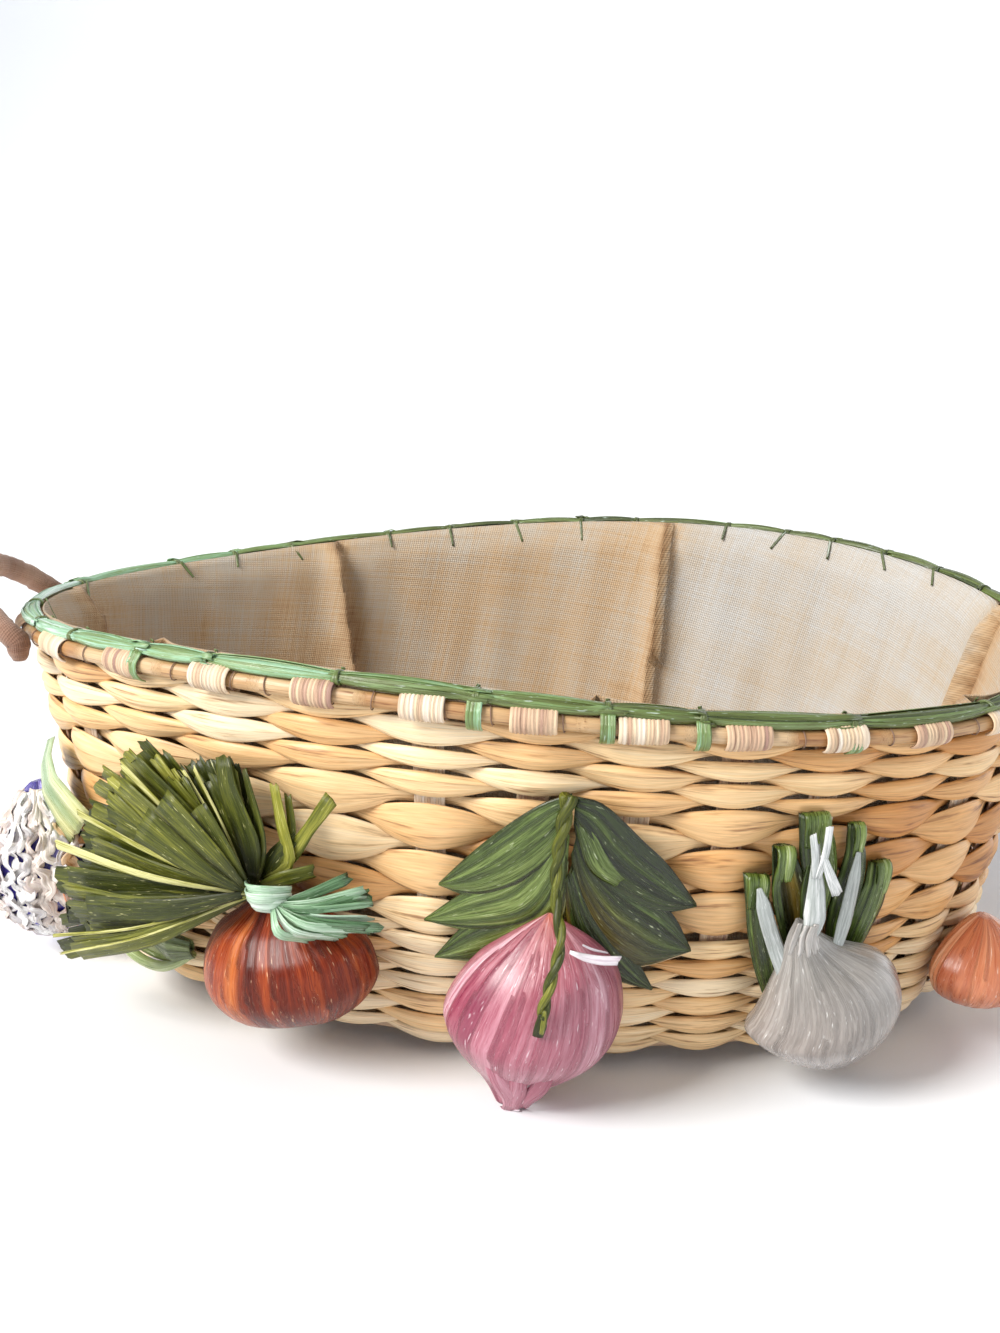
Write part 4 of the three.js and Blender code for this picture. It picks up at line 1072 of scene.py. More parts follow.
def leaf(work, place, upper, lower, lift, tone, seed, strips, crown, columns=LEAF_COLUMNS,
         spread=0.1, ridge=0.25, kind=0.0, thick=0.5, cut=0.0):
    """A leaf of strips laid side by side between two edges, each a list of (x, y). lift is its
    height off the wall from root to tip, and crown how far its middle stands above its edges."""
    rng = random.Random(seed)
    a, b = even_path(upper, LEAF_ROWS), even_path(lower, LEAF_ROWS)
    share = np.linspace(0, 1, columns)
    flat = a[:, None] + (b - a)[:, None] * share[None, :, None]
    if cut:
        ahead = unit(np.gradient((a + b) / 2, axis=0))
        ragged = np.array([rng.uniform(-cut, 0) for _ in share])
        flat[-1] += ahead[-1] * ragged[:, None]
        flat[-2] += ahead[-2] * ragged[:, None] * 0.5
    gap = np.linalg.norm(b - a, axis=1)[:, None]
    across, shade = strip_pattern(rng, strips, share * 0.999)
    bumps = ridge * (0.5 - across) + ridge * 0.6 * np.array([rng.uniform(-1, 1) for _ in share])
    height = np.interp(np.linspace(0, 1, LEAF_ROWS), np.linspace(0, 1, len(lift)), lift)[:, None]
    height = height + (crown * (1 - (2 * share - 1) ** 2) + bumps) * np.clip(gap / 8, 0.1, 1)
    front = place(flat[..., 0], flat[..., 1], height)
    under = place(flat[..., 0], flat[..., 1], height - thick)
    rings = np.concatenate([front, under[:, ::-1]], 1)
    run = lengths_along((a + b) / 2)
    side = share * gap.mean() + seed * 7.7 % 60
    tones = tone + spread * shade - 0.2 * np.exp(-((across - 0.03) / 0.08) ** 2)
    kinds = np.broadcast_to(np.asarray(kind, float), (LEAF_ROWS, columns))
    work.shell(rings, np.append(run, run[-1]) + seed * 13,
               np.concatenate([side, side[::-1], side[:1]]),
               np.concatenate([tones, tones[::-1]])[None],
               kind=np.concatenate([kinds, kinds[:, ::-1]], 1))


BLADE_ROWS = 12


def blade(work, place, points, widths, tone, seed, fray=1.5, twist=0.0, thick=0.25, sides=6,
          kind=0.0):
    """One flat raffia ribbon through points (x, y, z), cut square and a little ragged at its end."""
    line = even_path(points, BLADE_ROWS)
    spine = place(line[:, 0], line[:, 1], line[:, 2])
    out = unit(place(line[:, 0], line[:, 1], line[:, 2] + 1) - spine)
    ahead = unit(np.gradient(spine, axis=0))
    across = unit(np.cross(out, ahead))
    turn = np.radians(np.linspace(0.3, 1, BLADE_ROWS) * twist)[:, None]
    across = unit(across * np.cos(turn) + np.cross(ahead, across) * np.sin(turn))
    normal = unit(np.cross(ahead, across))
    widths = np.interp(np.linspace(0, 1, BLADE_ROWS), np.linspace(0, 1, len(widths)), widths)
    ribbon(work, spine, across, normal, widths, tone, thick=thick, bow=0.05, ridge=0.22,
           fray=fray, sides=sides, seed=seed, kind=kind)


# Where each group's middle is sewn on: its turn in degrees and its height
PINK = Place(276.4, 43)
BROWN = Place(247.8, 47)
GARLIC = Place(310.3, 40)
GOURD = Place(338.0, 39.5)
VIOLET = Place(199, 47)
POD = Place(222, 29.1)


def pink_onion():
    """A broad pink bulb whose tip is pulled down and out into a few loose ends."""
    work = Work()
    left = [(4.4, 43.5), (-3.2, 38.2), (-13.2, 30.7), (-21.3, 23.9), (-29.0, 13.8), (-34.1, 3.2),
            (-34.4, -3.3), (-31.0, -12.0), (-26.8, -18.6), (-21.6, -24.8), (-17.2, -30.9),
            (-13.4, -37.3), (-9.2, -43.4)]
    right = [(5.6, 43.5), (12.0, 39.3), (20.3, 33.8), (27.7, 26.9), (32.2, 19.7), (34.4, 9.7),
             (34.6, -0.5), (31.8, -9.7), (27.4, -16.2), (20.0, -23.0), (12.0, -28.8), (4.0, -34.0),
             (-2.6, -39.4), (-8.4, -43.8)]
    bulb(work, PINK, left, right, 42, 13, 30, 5, 0.36, 0.17, crease=0.5, ridge=0.4, taper=1.3,
         tip_out=17,
         kind=lambda s, a: np.exp(-s / 0.13) * (0.7 + 0.3 * np.cos(3 * a)))
    for number, (x0, x1, y1) in enumerate([(-12, -9, -41), (-4, -7, -42), (6, -3, -38)]):
        blade(work, PINK.flat, [(x0 - 6, 4, 36 - 0.3 * number), (x0, -14, 39), (x1 + 2, -30, 34),
                                (x1, y1, 30)],
              [2, 7, 7, 4], 0.5 - 0.12 * number, 60 + number, fray=1.2)
    blade(work, PINK.flat, [(-8, -32.5, 31), (-6, -35.5, 31), (-4, -38.5, 32)], [3.4, 4.4, 2.6],
          1.4, 64, fray=1.4)
    blade(work, PINK.flat, [(-24, -22, 12), (-21, -27, 12), (-17.5, -32, 12.5)], [4, 6, 5], 1.1, 66,
          fray=2.5, twist=20)
    piece = work.make("pink_raffia_onion", rose, "pink_raffia", "pink_onion")


def lilac_strip():
    """A loose pale strip across the pink onion's shoulder."""
    work = Work()
    blade(work, PINK.flat, [(13.5, 36.2, 27), (19, 35.6, 29.0), (25, 34.4, 28.6), (31.5, 32.8, 26)],
          [1.6, 3.6, 4.2, 4.4], 0.92, 71, fray=1.2, thick=0.5)
    blade(work, PINK.flat, [(18, 39, 26.0), (22, 37.5, 26.5), (27, 35.6, 25.2)], [0.8, 1.2, 0.7], 1.0,
          72, fray=0.8)
    work.make("lilac_strip", lilac, "pink_raffia")


# The pink onion's leaves, each by its upper and lower edge, its tone and its amber: none, a
# patch towards the lower edge, or streaks from edge to edge
NO_AMBER, AMBER_PATCH, AMBER_STREAKS = range(3)


def rosette():
    """Two fans of overlapping leaves spread out behind the pink onion."""
    rise = [9, 8.5, 8, 6.5, 4.5]
    columns = 25
    lobes = {
        "left": [
            ([(8.2, 61.4), (2.9, 47.3), (-5.8, 36.2), (-14.0, 25.5), (-20.9, 14.4)],
             [(11.0, 53.3), (10.5, 38.5), (5.7, 26.9), (-5.8, 16.4), (-20.6, 13.6)], 0.42, AMBER_PATCH),
            ([(7.8, 74.0), (1.7, 54.2), (-10.9, 40.4), (-26.4, 30.1), (-39.3, 12.4)],
             [(10.6, 62.7), (10.0, 40.3), (4.0, 26.1), (-14.1, 14.4), (-39.3, 11.6)], 0.48, AMBER_PATCH),
            ([(7.4, 84.0), (-1.5, 66.5), (-13.1, 53.7), (-27.3, 44.2), (-43.0, 28.9)],
             [(10.6, 74.2), (9.5, 52.9), (3.0, 34.5), (-13.2, 26.7), (-43.0, 28.1)], 0.5, NO_AMBER),
            ([(10.8, 92.3), (-0.2, 86.1), (-14.3, 73.1), (-26.2, 59.5), (-36.9, 45.8)],
             [(10.6, 77.5), (7.4, 60.7), (-5.1, 46.7), (-20.3, 41.4), (-36.9, 44.8)], 0.48, NO_AMBER),
        ],
        "right": [
            ([(12.1, 62.9), (16.6, 48.1), (22.5, 32.7), (27.1, 22.0)],
             [(9.0, 52.4), (10.5, 38.2), (14.6, 26.3), (22.2, 17.0)], 0.30, AMBER_STREAKS),
            ([(13.4, 64.0), (20.5, 47.4), (29.4, 32.7), (37.4, 20.7), (45.8, 4.0)],
             [(9.9, 52.6), (13.1, 33.6), (19.6, 20.5), (29.5, 9.7), (45.3, 3.0)], 0.24, NO_AMBER),
            ([(13.3, 77.8), (21.6, 64.1), (33.9, 53.6), (49.0, 42.0), (58.8, 23.4)],
             [(11.3, 66.0), (14.3, 47.2), (22.1, 29.0), (38.3, 16.3), (58.9, 21.9)], 0.26, AMBER_PATCH),
            ([(11.8, 91.2), (22.2, 88.3), (36.4, 73.9), (47.2, 62.1), (58.7, 44.7)],
             [(11.7, 79.2), (16.6, 57.1), (29.7, 45.2), (43.3, 40.4), (58.9, 43.1)], 0.24, NO_AMBER),
        ],
    }
    for side, parts in lobes.items():
        work = Work()
        for number, (upper, lower, tone, amber) in enumerate(parts):
            rows = np.linspace(0, 1, LEAF_ROWS)[:, None]
            cols = np.linspace(0, 1, columns)[None]
            kind = 0.0
            if amber == AMBER_PATCH:
                kind = 0.8 * np.exp(-((rows - 0.45) / 0.28) ** 2) * np.clip(cols * 1.6 - 0.5, 0, 1)
            if amber == AMBER_STREAKS:
                kind = 0.85 * np.exp(-((rows - 0.45) / 0.4) ** 2) * (0.6 + 0.4 * np.sin(9 * cols))
            leaf(work, PINK.hug, upper, lower, [z + 0.5 * number for z in rise], tone,
                 seed=20 + number + 10 * (side == "right"), strips=9, columns=columns, crown=1.8,
                 ridge=0.35, kind=kind, spread=0.1)
        if side == "right":
            blade(work, PINK.hug, [(12.5, 84, 11.2), (17, 74, 11.8), (22, 63, 11.8), (29, 57, 11.2)],
                  [2, 7, 9, 6], 0.52, 47, fray=1.5)
        work.make(f"green_leaf_fan_{side}", leaf_green, "leaf_raffia", f"leaf_fan_{side}")


def stem_cord():
    """Two strands twisted together, sewn down over the fans and the onion."""
    work = Work()
    steps = 90
    line = [(10.5, 94.0, 11), (8.9, 84.0, 14), (7.0, 67.7, 18), (7.6, 55.1, 24), (9.6, 48.3, 31),
            (9.9, 43.2, 35), (7.8, 34.6, 39.5), (5.6, 25.5, 42.5), (4.6, 18, 43.6)]
    path = even_path(line, steps)
    spine = PINK.flat(path[:, 0], path[:, 1], path[:, 2])
    ahead = unit(np.gradient(spine, axis=0))
    one = unit(np.cross(ahead, PINK.away))
    two = np.cross(ahead, one)
    share = np.linspace(0, 1, steps)
    twist = share * 2 * math.pi * 4.2
    wide = np.interp(share, [0, 0.15, 0.45, 0.85, 1], [2.3, 1.8, 1.35, 1.5, 1.6])
    for strand, tone in ((0, 0.5), (math.pi, 0.3)):
        angle = (twist + strand)[:, None]
        tube(work, spine + wide[:, None] * 0.62 * (one * np.cos(angle) + two * np.sin(angle)),
             wide, tone, sides=10)
    blade(work, PINK.flat, [(4.9, 20, 44.2), (4.2, 15, 44.6), (3.2, 10.0, 43.6)], [3.2, 4.6, 4.0], 0.1,
          81, fray=0.8, thick=1.4)
    blade(work, PINK.flat, [(5.6, 22, 44.6), (5.2, 17, 45.4), (4.6, 12.0, 44.9)], [1.4, 2.2, 1.6], 0.55,
          82, fray=0.8, thick=0.8)
    work.make("twisted_stem", moss, "moss_raffia", "stem_cord")


def brown_onion():
    """A squat brown bulb, pulled in at the neck, with one orange band down it."""
    work = Work()
    left = [(-5.0, 33.2), (-12.3, 28.4), (-20.6, 21.3), (-29.0, 14.2), (-33.9, 5.1), (-36.0, -4.9),
            (-35.5, -13.0), (-31.8, -20.4), (-26.0, -25.9), (-17.3, -27.8), (-4.5, -28.2),
            (5.4, -27.4)]
    right = [(-4.0, 33.6), (4.1, 32.6), (13.4, 28.9), (24.0, 26.1), (30.8, 22.5), (36.5, 18.7),
             (39.4, 10.3), (39.7, 2.5), (34.5, -8.0), (26.6, -16.7), (19.9, -22.0), (7.0, -27.4)]
    bulb(work, BROWN, left, right, 40, 12, 34, 8, 0.38, 0.11, crease=0.9, ridge=0.22, taper=1.5,
         kind=lambda s, a: (0.55 * np.exp(-((s - 0.42) / 0.25) ** 2)
                            * np.exp(-((a + 0.35) / 0.09) ** 2)))
    piece = work.make("brown_raffia_onion", russet, "brown_raffia", "brown_onion")


# Painted shade: ribbons are darkest where they crowd out of the neck
ROOT_PAINTED_SHADE = np.clip(1 - np.linspace(0, 1, BLADE_ROWS) / 0.45, 0, 1)


def onion_tuft():
    """Square-cut ribbons fan out of the brown onion's neck in layers, painted darker behind as shade."""
    work = Work()
    rng = random.Random(17)
    root = np.array([-5.3, 38.5])
    tips = np.array([(-106, -15), (-104, -4), (-102, 5), (-102, 14), (-102, 24), (-97, 34),
                     (-92, 45), (-87, 53), (-80, 64), (-74, 75), (-66, 84), (-56, 86), (-46, 80),
                     (-36, 81), (-27, 84), (-18, 86)], float)
    # Each layer is darker the further back it lies: painted shade under the layers in front
    for layer, (count, z_tip, tone, wide) in enumerate(
            [(26, 7, 0.24, 9.5), (24, 12, 0.34, 9.2), (18, 17, 0.42, 9.0)]):
        for number in range(count):
            place = (number + rng.uniform(-0.3, 0.3)) / (count - 1) * (len(tips) - 1)
            place = min(len(tips) - 1, max(0, place)) * (1.0 if layer < 2 else 0.62)
            tip = np.array([np.interp(place, np.arange(len(tips)), tips[:, k]) for k in (0, 1)])
            tip = root + (tip - root) * rng.uniform(0.88, 1.02) * (1 - 0.06 * layer)
            low = 8 if place < 4 else 0
            z = z_tip + rng.uniform(-2, 2) + low
            middle = root + (tip - root) * 0.5 + rng.uniform(-2, 2)
            width = wide * rng.uniform(0.75, 1.2) * (0.55 if place > 10.5 else 1.0)
            shade = tone + rng.gauss(0, 0.1) + (0.2 if 8 < place < 12 else 0)
            blade(work, BROWN.flat, [(*root, 22 + layer), (*middle, z + 3 + 2 * layer), (*tip, z)],
                  [2.0, width * 0.8, width], shade, 200 + layer * 40 + number,
                  fray=4.2, twist=rng.uniform(-20, 20), sides=8, kind=ROOT_PAINTED_SHADE)
    chosen = [
        ((-94, 43, 24), 4.6, 0.98, 0), ((-84, 57, 20), 3.0, 0.8, 0), ((-70, 73, 16), 4.0, 0.75, 10),
        ((-63, 80, 16), 3.0, 0.85, 0), ((-99, 2, 30), 1.6, 0.8, 0), ((-96, -6, 30), 1.2, 0.86, 0),
        ((-38, 80, 12), 1.8, 0.85, 0), ((-33, 82, 12), 1.5, 0.9, 10), ((-42, 79, 12), 2.0, 0.7, 0),
    ]
    for number, (tip, width, tone, twist) in enumerate(chosen):
        blade(work, BROWN.flat, [(*root, 25), ((tip[0] - 5) / 2, (tip[1] + 38) / 2, tip[2] + 5), tip],
              [1, width * 0.7, width], tone, 320 + number, fray=2.5, twist=twist)
    front = [
        ([(-8, 41, 27), (-22, 50, 31), (-48, 64, 29)], [3, 10, 15], 0.36),
        ([(-7, 43, 27), (-16, 58, 31), (-40, 73, 25)], [3, 9, 12], 0.42),
        ([(-6, 43, 26), (-12, 58, 29), (-25, 72, 25)], [3, 9, 14], 0.4),
        ([(-8, 40, 28), (-40, 30, 34), (-78, 20, 30)], [3, 10, 12], 0.26),
        ([(-6, 43, 22), (-6, 60, 22), (-17, 77, 15), (-21, 88, 10)], [4, 10, 10, 7], 0.28),
        ([(-5, 43, 22), (-2, 60, 20), (-12, 84, 10)], [3, 6, 3], 0.3),
        ([(-2, 44, 20), (8, 52, 18), (5, 66, 15), (1, 80, 11)], [3, 6, 6, 5], 0.66),
        ([(0, 50, 16), (8, 62, 14), (6, 76, 10)], [3, 4, 3], 0.5),
        ([(-2, 43, 18), (8, 54, 16), (16, 66, 13), (24, 78, 10)], [4, 7, 5, 6.5], 0.6),
        ([(-3, 42, 20), (2, 52, 18), (10, 62, 14)], [4, 8, 5], 0.34),
        ([(-3, 41, 22), (8, 47, 22), (18, 50, 18)], [4, 7, 6], 0.42),
    ]
    for number, (points, widths, tone) in enumerate(front):
        blade(work, BROWN.flat, points, widths, tone, 400 + number, fray=2.0,
              twist=rng.uniform(-18, 18), kind=0.7 * ROOT_PAINTED_SHADE)
    work.make("onion_leaf_tuft", moss, "moss_raffia", "onion_tuft")


def aqua_bow():
    """Four turns of strip tie the brown onion's neck, and frayed ends fan out from them."""
    work = Work()
    for number, (y, bulge) in enumerate([(46.5, 32), (43.5, 33), (40.5, 32), (37.8, 30)]):
        blade(work, BROWN.flat, [(-6.5, y - 2.5, 24), (-2, y, bulge), (6, y + 1, bulge + 0.6),
                                 (12.5, y - 1, 26)],
              [3.0, 4.6, 4.8, 3.6], 0.72 + 0.07 * number, 500 + number, fray=0.6, thick=0.5)
    work.make("bow_knot", mint, "mint_raffia")
    rng = random.Random(31)
    for side, directions in (("left", [22, 12, 5, -1]), ("right", [-6, -12, -18, -26, -36, -48, -9])):
        work = Work()
        for number, degrees in enumerate(directions):
            lean = math.radians(degrees + rng.uniform(-5, 5))
            reach = (np.interp(degrees, [-48, -30, -12, 0, 22], [20, 26, 37, 35, 26])
                     * rng.uniform(0.88, 1.05))
            near = np.interp(degrees, [-48, 0, 22], [31, 24, 20])
            tip = (7 + reach * math.cos(lean), 39.5 + reach * math.sin(lean))
            middle = (7 + 0.5 * reach * math.cos(lean), 40 + 0.46 * reach * math.sin(lean))
            blade(work, BROWN.flat, [(6, 39.5, 29.5), (*middle, near + 5 + number % 3),
                                     (*tip, near - 5 + 2 * (number % 2))],
                  [2.4, rng.uniform(3.4, 5.2), rng.uniform(3.2, 5.6)], rng.uniform(0.16, 0.82),
                  520 + number + 20 * (side == "left"), fray=4.5,
                  twist=rng.uniform(-22, 22), sides=8)
        work.make(f"bow_ends_{side}", mint, "mint_raffia", f"bow_{side}")


def pod():
    """A half-open pod low on the wall, with a rolled lower edge."""
    work = Work()
    leaf(work, POD.hug, [(-26, 2), (-18, 7), (0, 8), (16, 9), (26, 8)],
         [(-27, -1), (-16, -7), (2, -8), (17, -5), (27, 1)], [3, 5, 5, 5, 4], 0.5, 33,
         kind=np.outer(np.exp(-((np.linspace(0, 1, LEAF_ROWS) - 0.42) / 0.25) ** 2),
                       np.exp(-((np.linspace(0, 1, LEAF_COLUMNS) - 0.42) / 0.3) ** 2)),
         crown=-2.0, strips=6)
    path = even_path([(-28, 0.5, 4), (-16, -7, 7.5), (2, -8.6, 8), (17, -5.4, 7), (28, 1.5, 4)], 40)
    tube(work, POD.hug(path[:, 0], path[:, 1], path[:, 2]),
         np.interp(np.linspace(0, 1, 40), [0, 0.2, 0.7, 1], [1.2, 2.4, 2.4, 1.4]), 0.62, sides=12)
    leaf(work, POD.hug, [(6, 9), (16, 10), (28, 8)], [(8, -3), (18, -4), (29, 0)], [6, 8, 5], 0.2, 35,
         crown=2.0, strips=4)
    work.make("half_open_pod", pod_green, "leaf_raffia", "green_pod")


def garlic():
    """A white bulb drawn in to a leaning neck of loose strips."""
    work = Work()
    left = [(-18.2, 42.9), (-20.1, 35.5), (-21.1, 24.8), (-23.4, 15.2), (-25.6, 5.4),
            (-28.6, -3.1), (-31.0, -8.8), (-21.7, -17.8), (-10.1, -25.0), (0.2, -27.6)]
    right = [(-16.8, 42.9), (-9.5, 37.2), (-0.2, 31.0), (9.7, 27.3), (20.9, 23.1), (29.2, 15.6),
             (33.2, 5.3), (32.3, -6.1), (29.2, -13.8), (24.4, -21.0), (20.0, -25.6), (11.6, -27.9),
             (1.4, -27.9)]
    bulb(work, GARLIC, left, right, 38, 12, 12, 3, 0.34, 0.07, crease=1.0, ridge=0.25, taper=1.1,
         kind=lambda s, a: np.clip(1.5 * s - 0.45, 0, 1) * (0.75 + 0.25 * np.cos(2 * a + 1)))
    for number, (x, z) in enumerate([(-21, 17), (-19, 19), (-17, 20), (-15, 19), (-13.5, 17)]):
        blade(work, GARLIC.flat,
              [(x + 1, 45, z + 1), (x, 40, z + 1.5), (x + 1.2 * (number - 2), 33, z + 3)],
              [2.2, 3.2, 1.4], 0.6, 600 + number, fray=0.8, thick=0.5)
    piece = work.make("white_raffia_garlic", pearl, "white_raffia", "garlic")


def garlic_leaves():
    """Five strips stand up behind the garlic, folded over at their tops, the second one open
    down its front."""
    loops = [
        ([(-35.5, 57.5), (-33.8, 42.9), (-31.3, 29.6), (-26.4, 13.6), (-20.0, -1.4)],
         [(-26.4, 56.4), (-22.8, 38.0), (-18.9, 24.3), (-15.3, 11.5), (-12.6, -1.8)], 0),
        ([(-25.8, 69.5), (-25.3, 55.5), (-22.8, 44.6), (-17.7, 32.1), (-12.0, 21.3)],
         [(-18.0, 69.5), (-12.1, 55.9), (-8.6, 45.8), (-6.4, 33.3), (-6.5, 22.0)], 1),
        ([(-17.6, 84.5), (-16.8, 70.2), (-13.0, 57.1), (-9.2, 46.9), (-5.3, 32.1)],
         [(-6.8, 84.8), (-2.2, 70.3), (0.2, 57.1), (0.2, 44.9), (-1.3, 31.6)], 0),
        ([(3.2, 79.0), (1.6, 63.5), (0.4, 49.3), (0.7, 35.9), (2.1, 25.5)],
         [(8.0, 79.0), (11.6, 62.4), (12.4, 49.0), (11.8, 34.4), (11.3, 21.8)], 0),
        ([(16.2, 59.5), (12.4, 49.0), (10.6, 38.0), (10.0, 25.5), (9.6, 19.7)],
         [(23.2, 59.5), (24.0, 43.7), (22.0, 31.5), (19.6, 20.3), (15.6, 16.4)], 0),
    ]
    for number, (left, right, opened) in enumerate(loops):
        work = Work()
        kind = 0.0
        if opened:
            kind = np.outer(np.clip(np.linspace(-0.4, 4, LEAF_ROWS), 0, 1),
                            np.exp(-((np.linspace(0, 1, LEAF_COLUMNS) - 0.6) / 0.26) ** 2))
        leaf(work, GARLIC.hug, left, right, [1.2, 5.2, 5.6, 5.2, 4.2, 3.5], 0.46, 40 + number,
             crown=-1.6 if opened else 3.4, strips=5, ridge=0.4, kind=kind, spread=0.16, thick=0.9)
        a, b = np.array(left[0]), np.array(right[0])
        for part, (share, size) in enumerate(((0.28, 0.30), (0.68, 0.34))):
            hinge = a + (b - a) * share
            gap = float(np.linalg.norm(b - a)) * size
            blade(work, GARLIC.hug,
                  [(hinge[0], hinge[1] - 12, 7.6), (hinge[0], hinge[1] - 2, 7.4),
                   (hinge[0], hinge[1] + 1.6, 5.0), (hinge[0], hinge[1] + 0.4, 1.4)],
                  [gap, gap * 1.6, gap * 1.7, gap * 1.5], 0.5 + 0.14 * part, 640 + number * 3 + part,
                  fray=0.2, thick=0.8)
        if opened:
            for x0, x1, tone in ((-24.6, -13.6, 0.4), (-13.2, -7.6, 0.3)):
                blade(work, GARLIC.hug,
                      [(x0 + 1.5, 68, 6), (x0, 55, 8), (x0 + 0.35 * (x1 - x0), 40, 7.6),
                       (x1 - 1, 24, 5)],
                      [2.4, 3.2, 3.2, 2], tone, 660 + int(x1), fray=0.3, thick=1.0)
        work.make(f"garlic_leaf_strip_{number + 1}", leaf_green, "leaf_raffia",
                  f"garlic_leaf_{number + 1}")


def sprouts():
    """Three sprouts rolled from thin strip and pinched to an oval, the middle one with three
    loose strips."""
    rows, sides = 26, 16
    spin = 2 * math.pi * np.arange(sides) / sides
    fold = 1 + 0.1 * np.sin(3 * spin)
    shapes = {
        "left": ([(-31.6, 55.6, 9.0), (-27.4, 41.8, 11), (-22.6, 29.0, 12), (-19.0, 20.0, 14),
                  (-16.6, 12.0, 16)], [1.0, 2.9, 3.1, 3.2, 3.3, 3.3, 2.4], 0.6),
        "middle": ([(-13.2, 76, 10.5), (-11.9, 65.7, 10.5), (-11.2, 53.0, 13), (-13.5, 43.5, 19),
                    (-16.0, 38.5, 20)], [1.2, 2.2, 3.6, 5.0, 3.0], 0.7),
        "right": ([(5.2, 70, 8.6), (4.6, 61.6, 10), (4.3, 48.3, 10.5), (3.0, 36.5, 12),
                   (0.2, 28.5, 15)], [1.0, 2.8, 3.0, 3.2, 2.4], 0.5),
    }
    for side, (points, radii, tone) in shapes.items():
        work = Work()
        line = even_path(points, rows)
        path = GARLIC.hug(line[:, 0], line[:, 1], line[:, 2])
        ahead = unit(np.gradient(path, axis=0))
        out = unit(GARLIC.hug(line[:, 0], line[:, 1], line[:, 2] + 1) - path)
        across = unit(np.cross(ahead, out))
        over = unit(np.cross(across, ahead))
        wide = np.interp(np.linspace(0, 1, rows), np.linspace(0, 1, len(radii)), radii)
        rings = (path[:, None] + across[:, None] * (wide[:, None] * fold * np.cos(spin))[..., None]
                 + over[:, None] * (0.42 * wide[:, None] * fold * np.sin(spin))[..., None])
        run = lengths_along(path)
        work.shell(rings, np.append(run, run[-1]), np.linspace(0, 18, sides + 1), tone)
        if side == "middle":
            blade(work, GARLIC.hug, [(-12.6, 62, 12.5), (-13.8, 71, 12.5), (-15.4, 80, 11)],
                  [2.4, 3.0, 2.6], 0.8, 690, fray=1.4, thick=0.6)
            blade(work, GARLIC.hug, [(-11.6, 62, 12.8), (-10.4, 73, 12.8), (-9.8, 83.5, 11)],
                  [2.4, 3.0, 3.0], 0.9, 691, fray=1.4, thick=0.6)
            blade(work, GARLIC.hug, [(-11.2, 72.6, 12.6), (-7.2, 63.2, 13.2), (-2.4, 53.7, 12.2)],
                  [2.2, 4.0, 4.6], 0.86, 692, fray=1.2, thick=0.6)
        work.make(f"sprout_tube_{side}", glassy, "white_raffia", f"sprout_{side}")


def oval_share(t, widest):
    """An oval's width at shares of its height, as a share of its width where it is widest."""
    return np.sin(math.pi * t ** (math.log(0.5) / math.log(widest))) ** 0.72


def oval(width, height, tilt, widest):
    """Left and right outlines of an oval on its plane."""
    outlines = []
    lean = math.radians(tilt)
    for sign in (-1, 1):
        t = np.linspace(0.02, 0.98, 11)
        y = height * (0.5 - t)
        x = sign * width / 2 * oval_share(t, widest)
        outlines.append([(a * math.cos(lean) + b * math.sin(lean),
                          b * math.cos(lean) - a * math.sin(lean)) for a, b in zip(x, y)])
    return outlines


def gourd():
    """A round orange bulb."""
    work = Work()
    left, right = oval(51, 43, 0, 0.52)
    bulb(work, GOURD, left, right, 38, 11, 26, 14, 0.42, 0.2, crease=0.5, ridge=0.5)
    piece = work.make("orange_raffia_gourd", salmon, "orange_raffia", "orange_gourd")


VIOLET_WIDTH = 45
VIOLET_HEIGHT = 77
VIOLET_WIDEST = 0.55


def violet_body():
    """A long violet bulb that leans a little."""
    work = Work()
    left, right = oval(VIOLET_WIDTH, VIOLET_HEIGHT, -6, VIOLET_WIDEST)
    bulb(work, VIOLET, left, right, 44, 13, 24, 21, 0.4, 0.16, crease=0.6, ridge=0.5)
    piece = work.make("violet_raffia_body", violet, "violet_raffia", "violet_body")


def frills():
    """Crumpled strips run down the violet bulb like piping, eleven white or pale and two tan, with
    a salmon one beside them."""
    work = Work()
    steps = 120
    t = np.linspace(0.04, 0.96, steps)
    share = oval_share(t, VIOLET_WIDEST)
    for number in range(13):
        rng = random.Random(number + 700)
        tan = number in (10, 12)
        pace = rng.uniform(4, 7)
        wiggle = np.sin(t * 2 * math.pi * pace + number) + 0.4 * np.sin(t * 2 * math.pi * 2.3 * pace)
        angle = np.radians(16 + 8.2 * number + 3.6 * wiggle)
        out = 2.0 + 0.9 * np.cos(t * 2 * math.pi * 1.7 * pace + number) + 0.6 * (number % 2)
        x = (VIOLET_WIDTH / 2 * share + out) * np.sin(angle)
        z = 13 + (31 * share ** 0.8 + out) * np.cos(angle)
        spine = VIOLET.flat(x, VIOLET_HEIGHT * (0.5 - t), z)
        ahead = unit(np.gradient(spine, axis=0))
        normal = unit(VIOLET.side * np.sin(angle)[:, None] + VIOLET.away * np.cos(angle)[:, None])
        spin = np.radians(30 * np.sin(t * 2 * math.pi * 1.3 * pace + 2 * number))[:, None]
        across = unit(np.cross(normal, ahead))
        across = across * np.cos(spin) + normal * np.sin(spin)
        ribbon(work, spine, across, unit(np.cross(ahead, across)),
               rng.uniform(5.0, 7.0) * (0.8 + 0.3 * np.sin(t * 40 + number)),
               rng.uniform(0.55, 0.95), thick=0.4, ridge=0.6, fray=1.5, sides=8, seed=number + 720,
               kind=0.9 if tan else rng.choice((0.0, 0.0, 0.25)))
    work.make("frilled_white_strips", frost, "white_raffia", "bead_string")
    work = Work()
    blade(work, VIOLET.flat, [(27, -2, 17), (28, -12, 16), (25, -24, 14)], [2, 4.5, 3], 0.5, 740)
    work.make("salmon_strip", salmon, "orange_raffia")


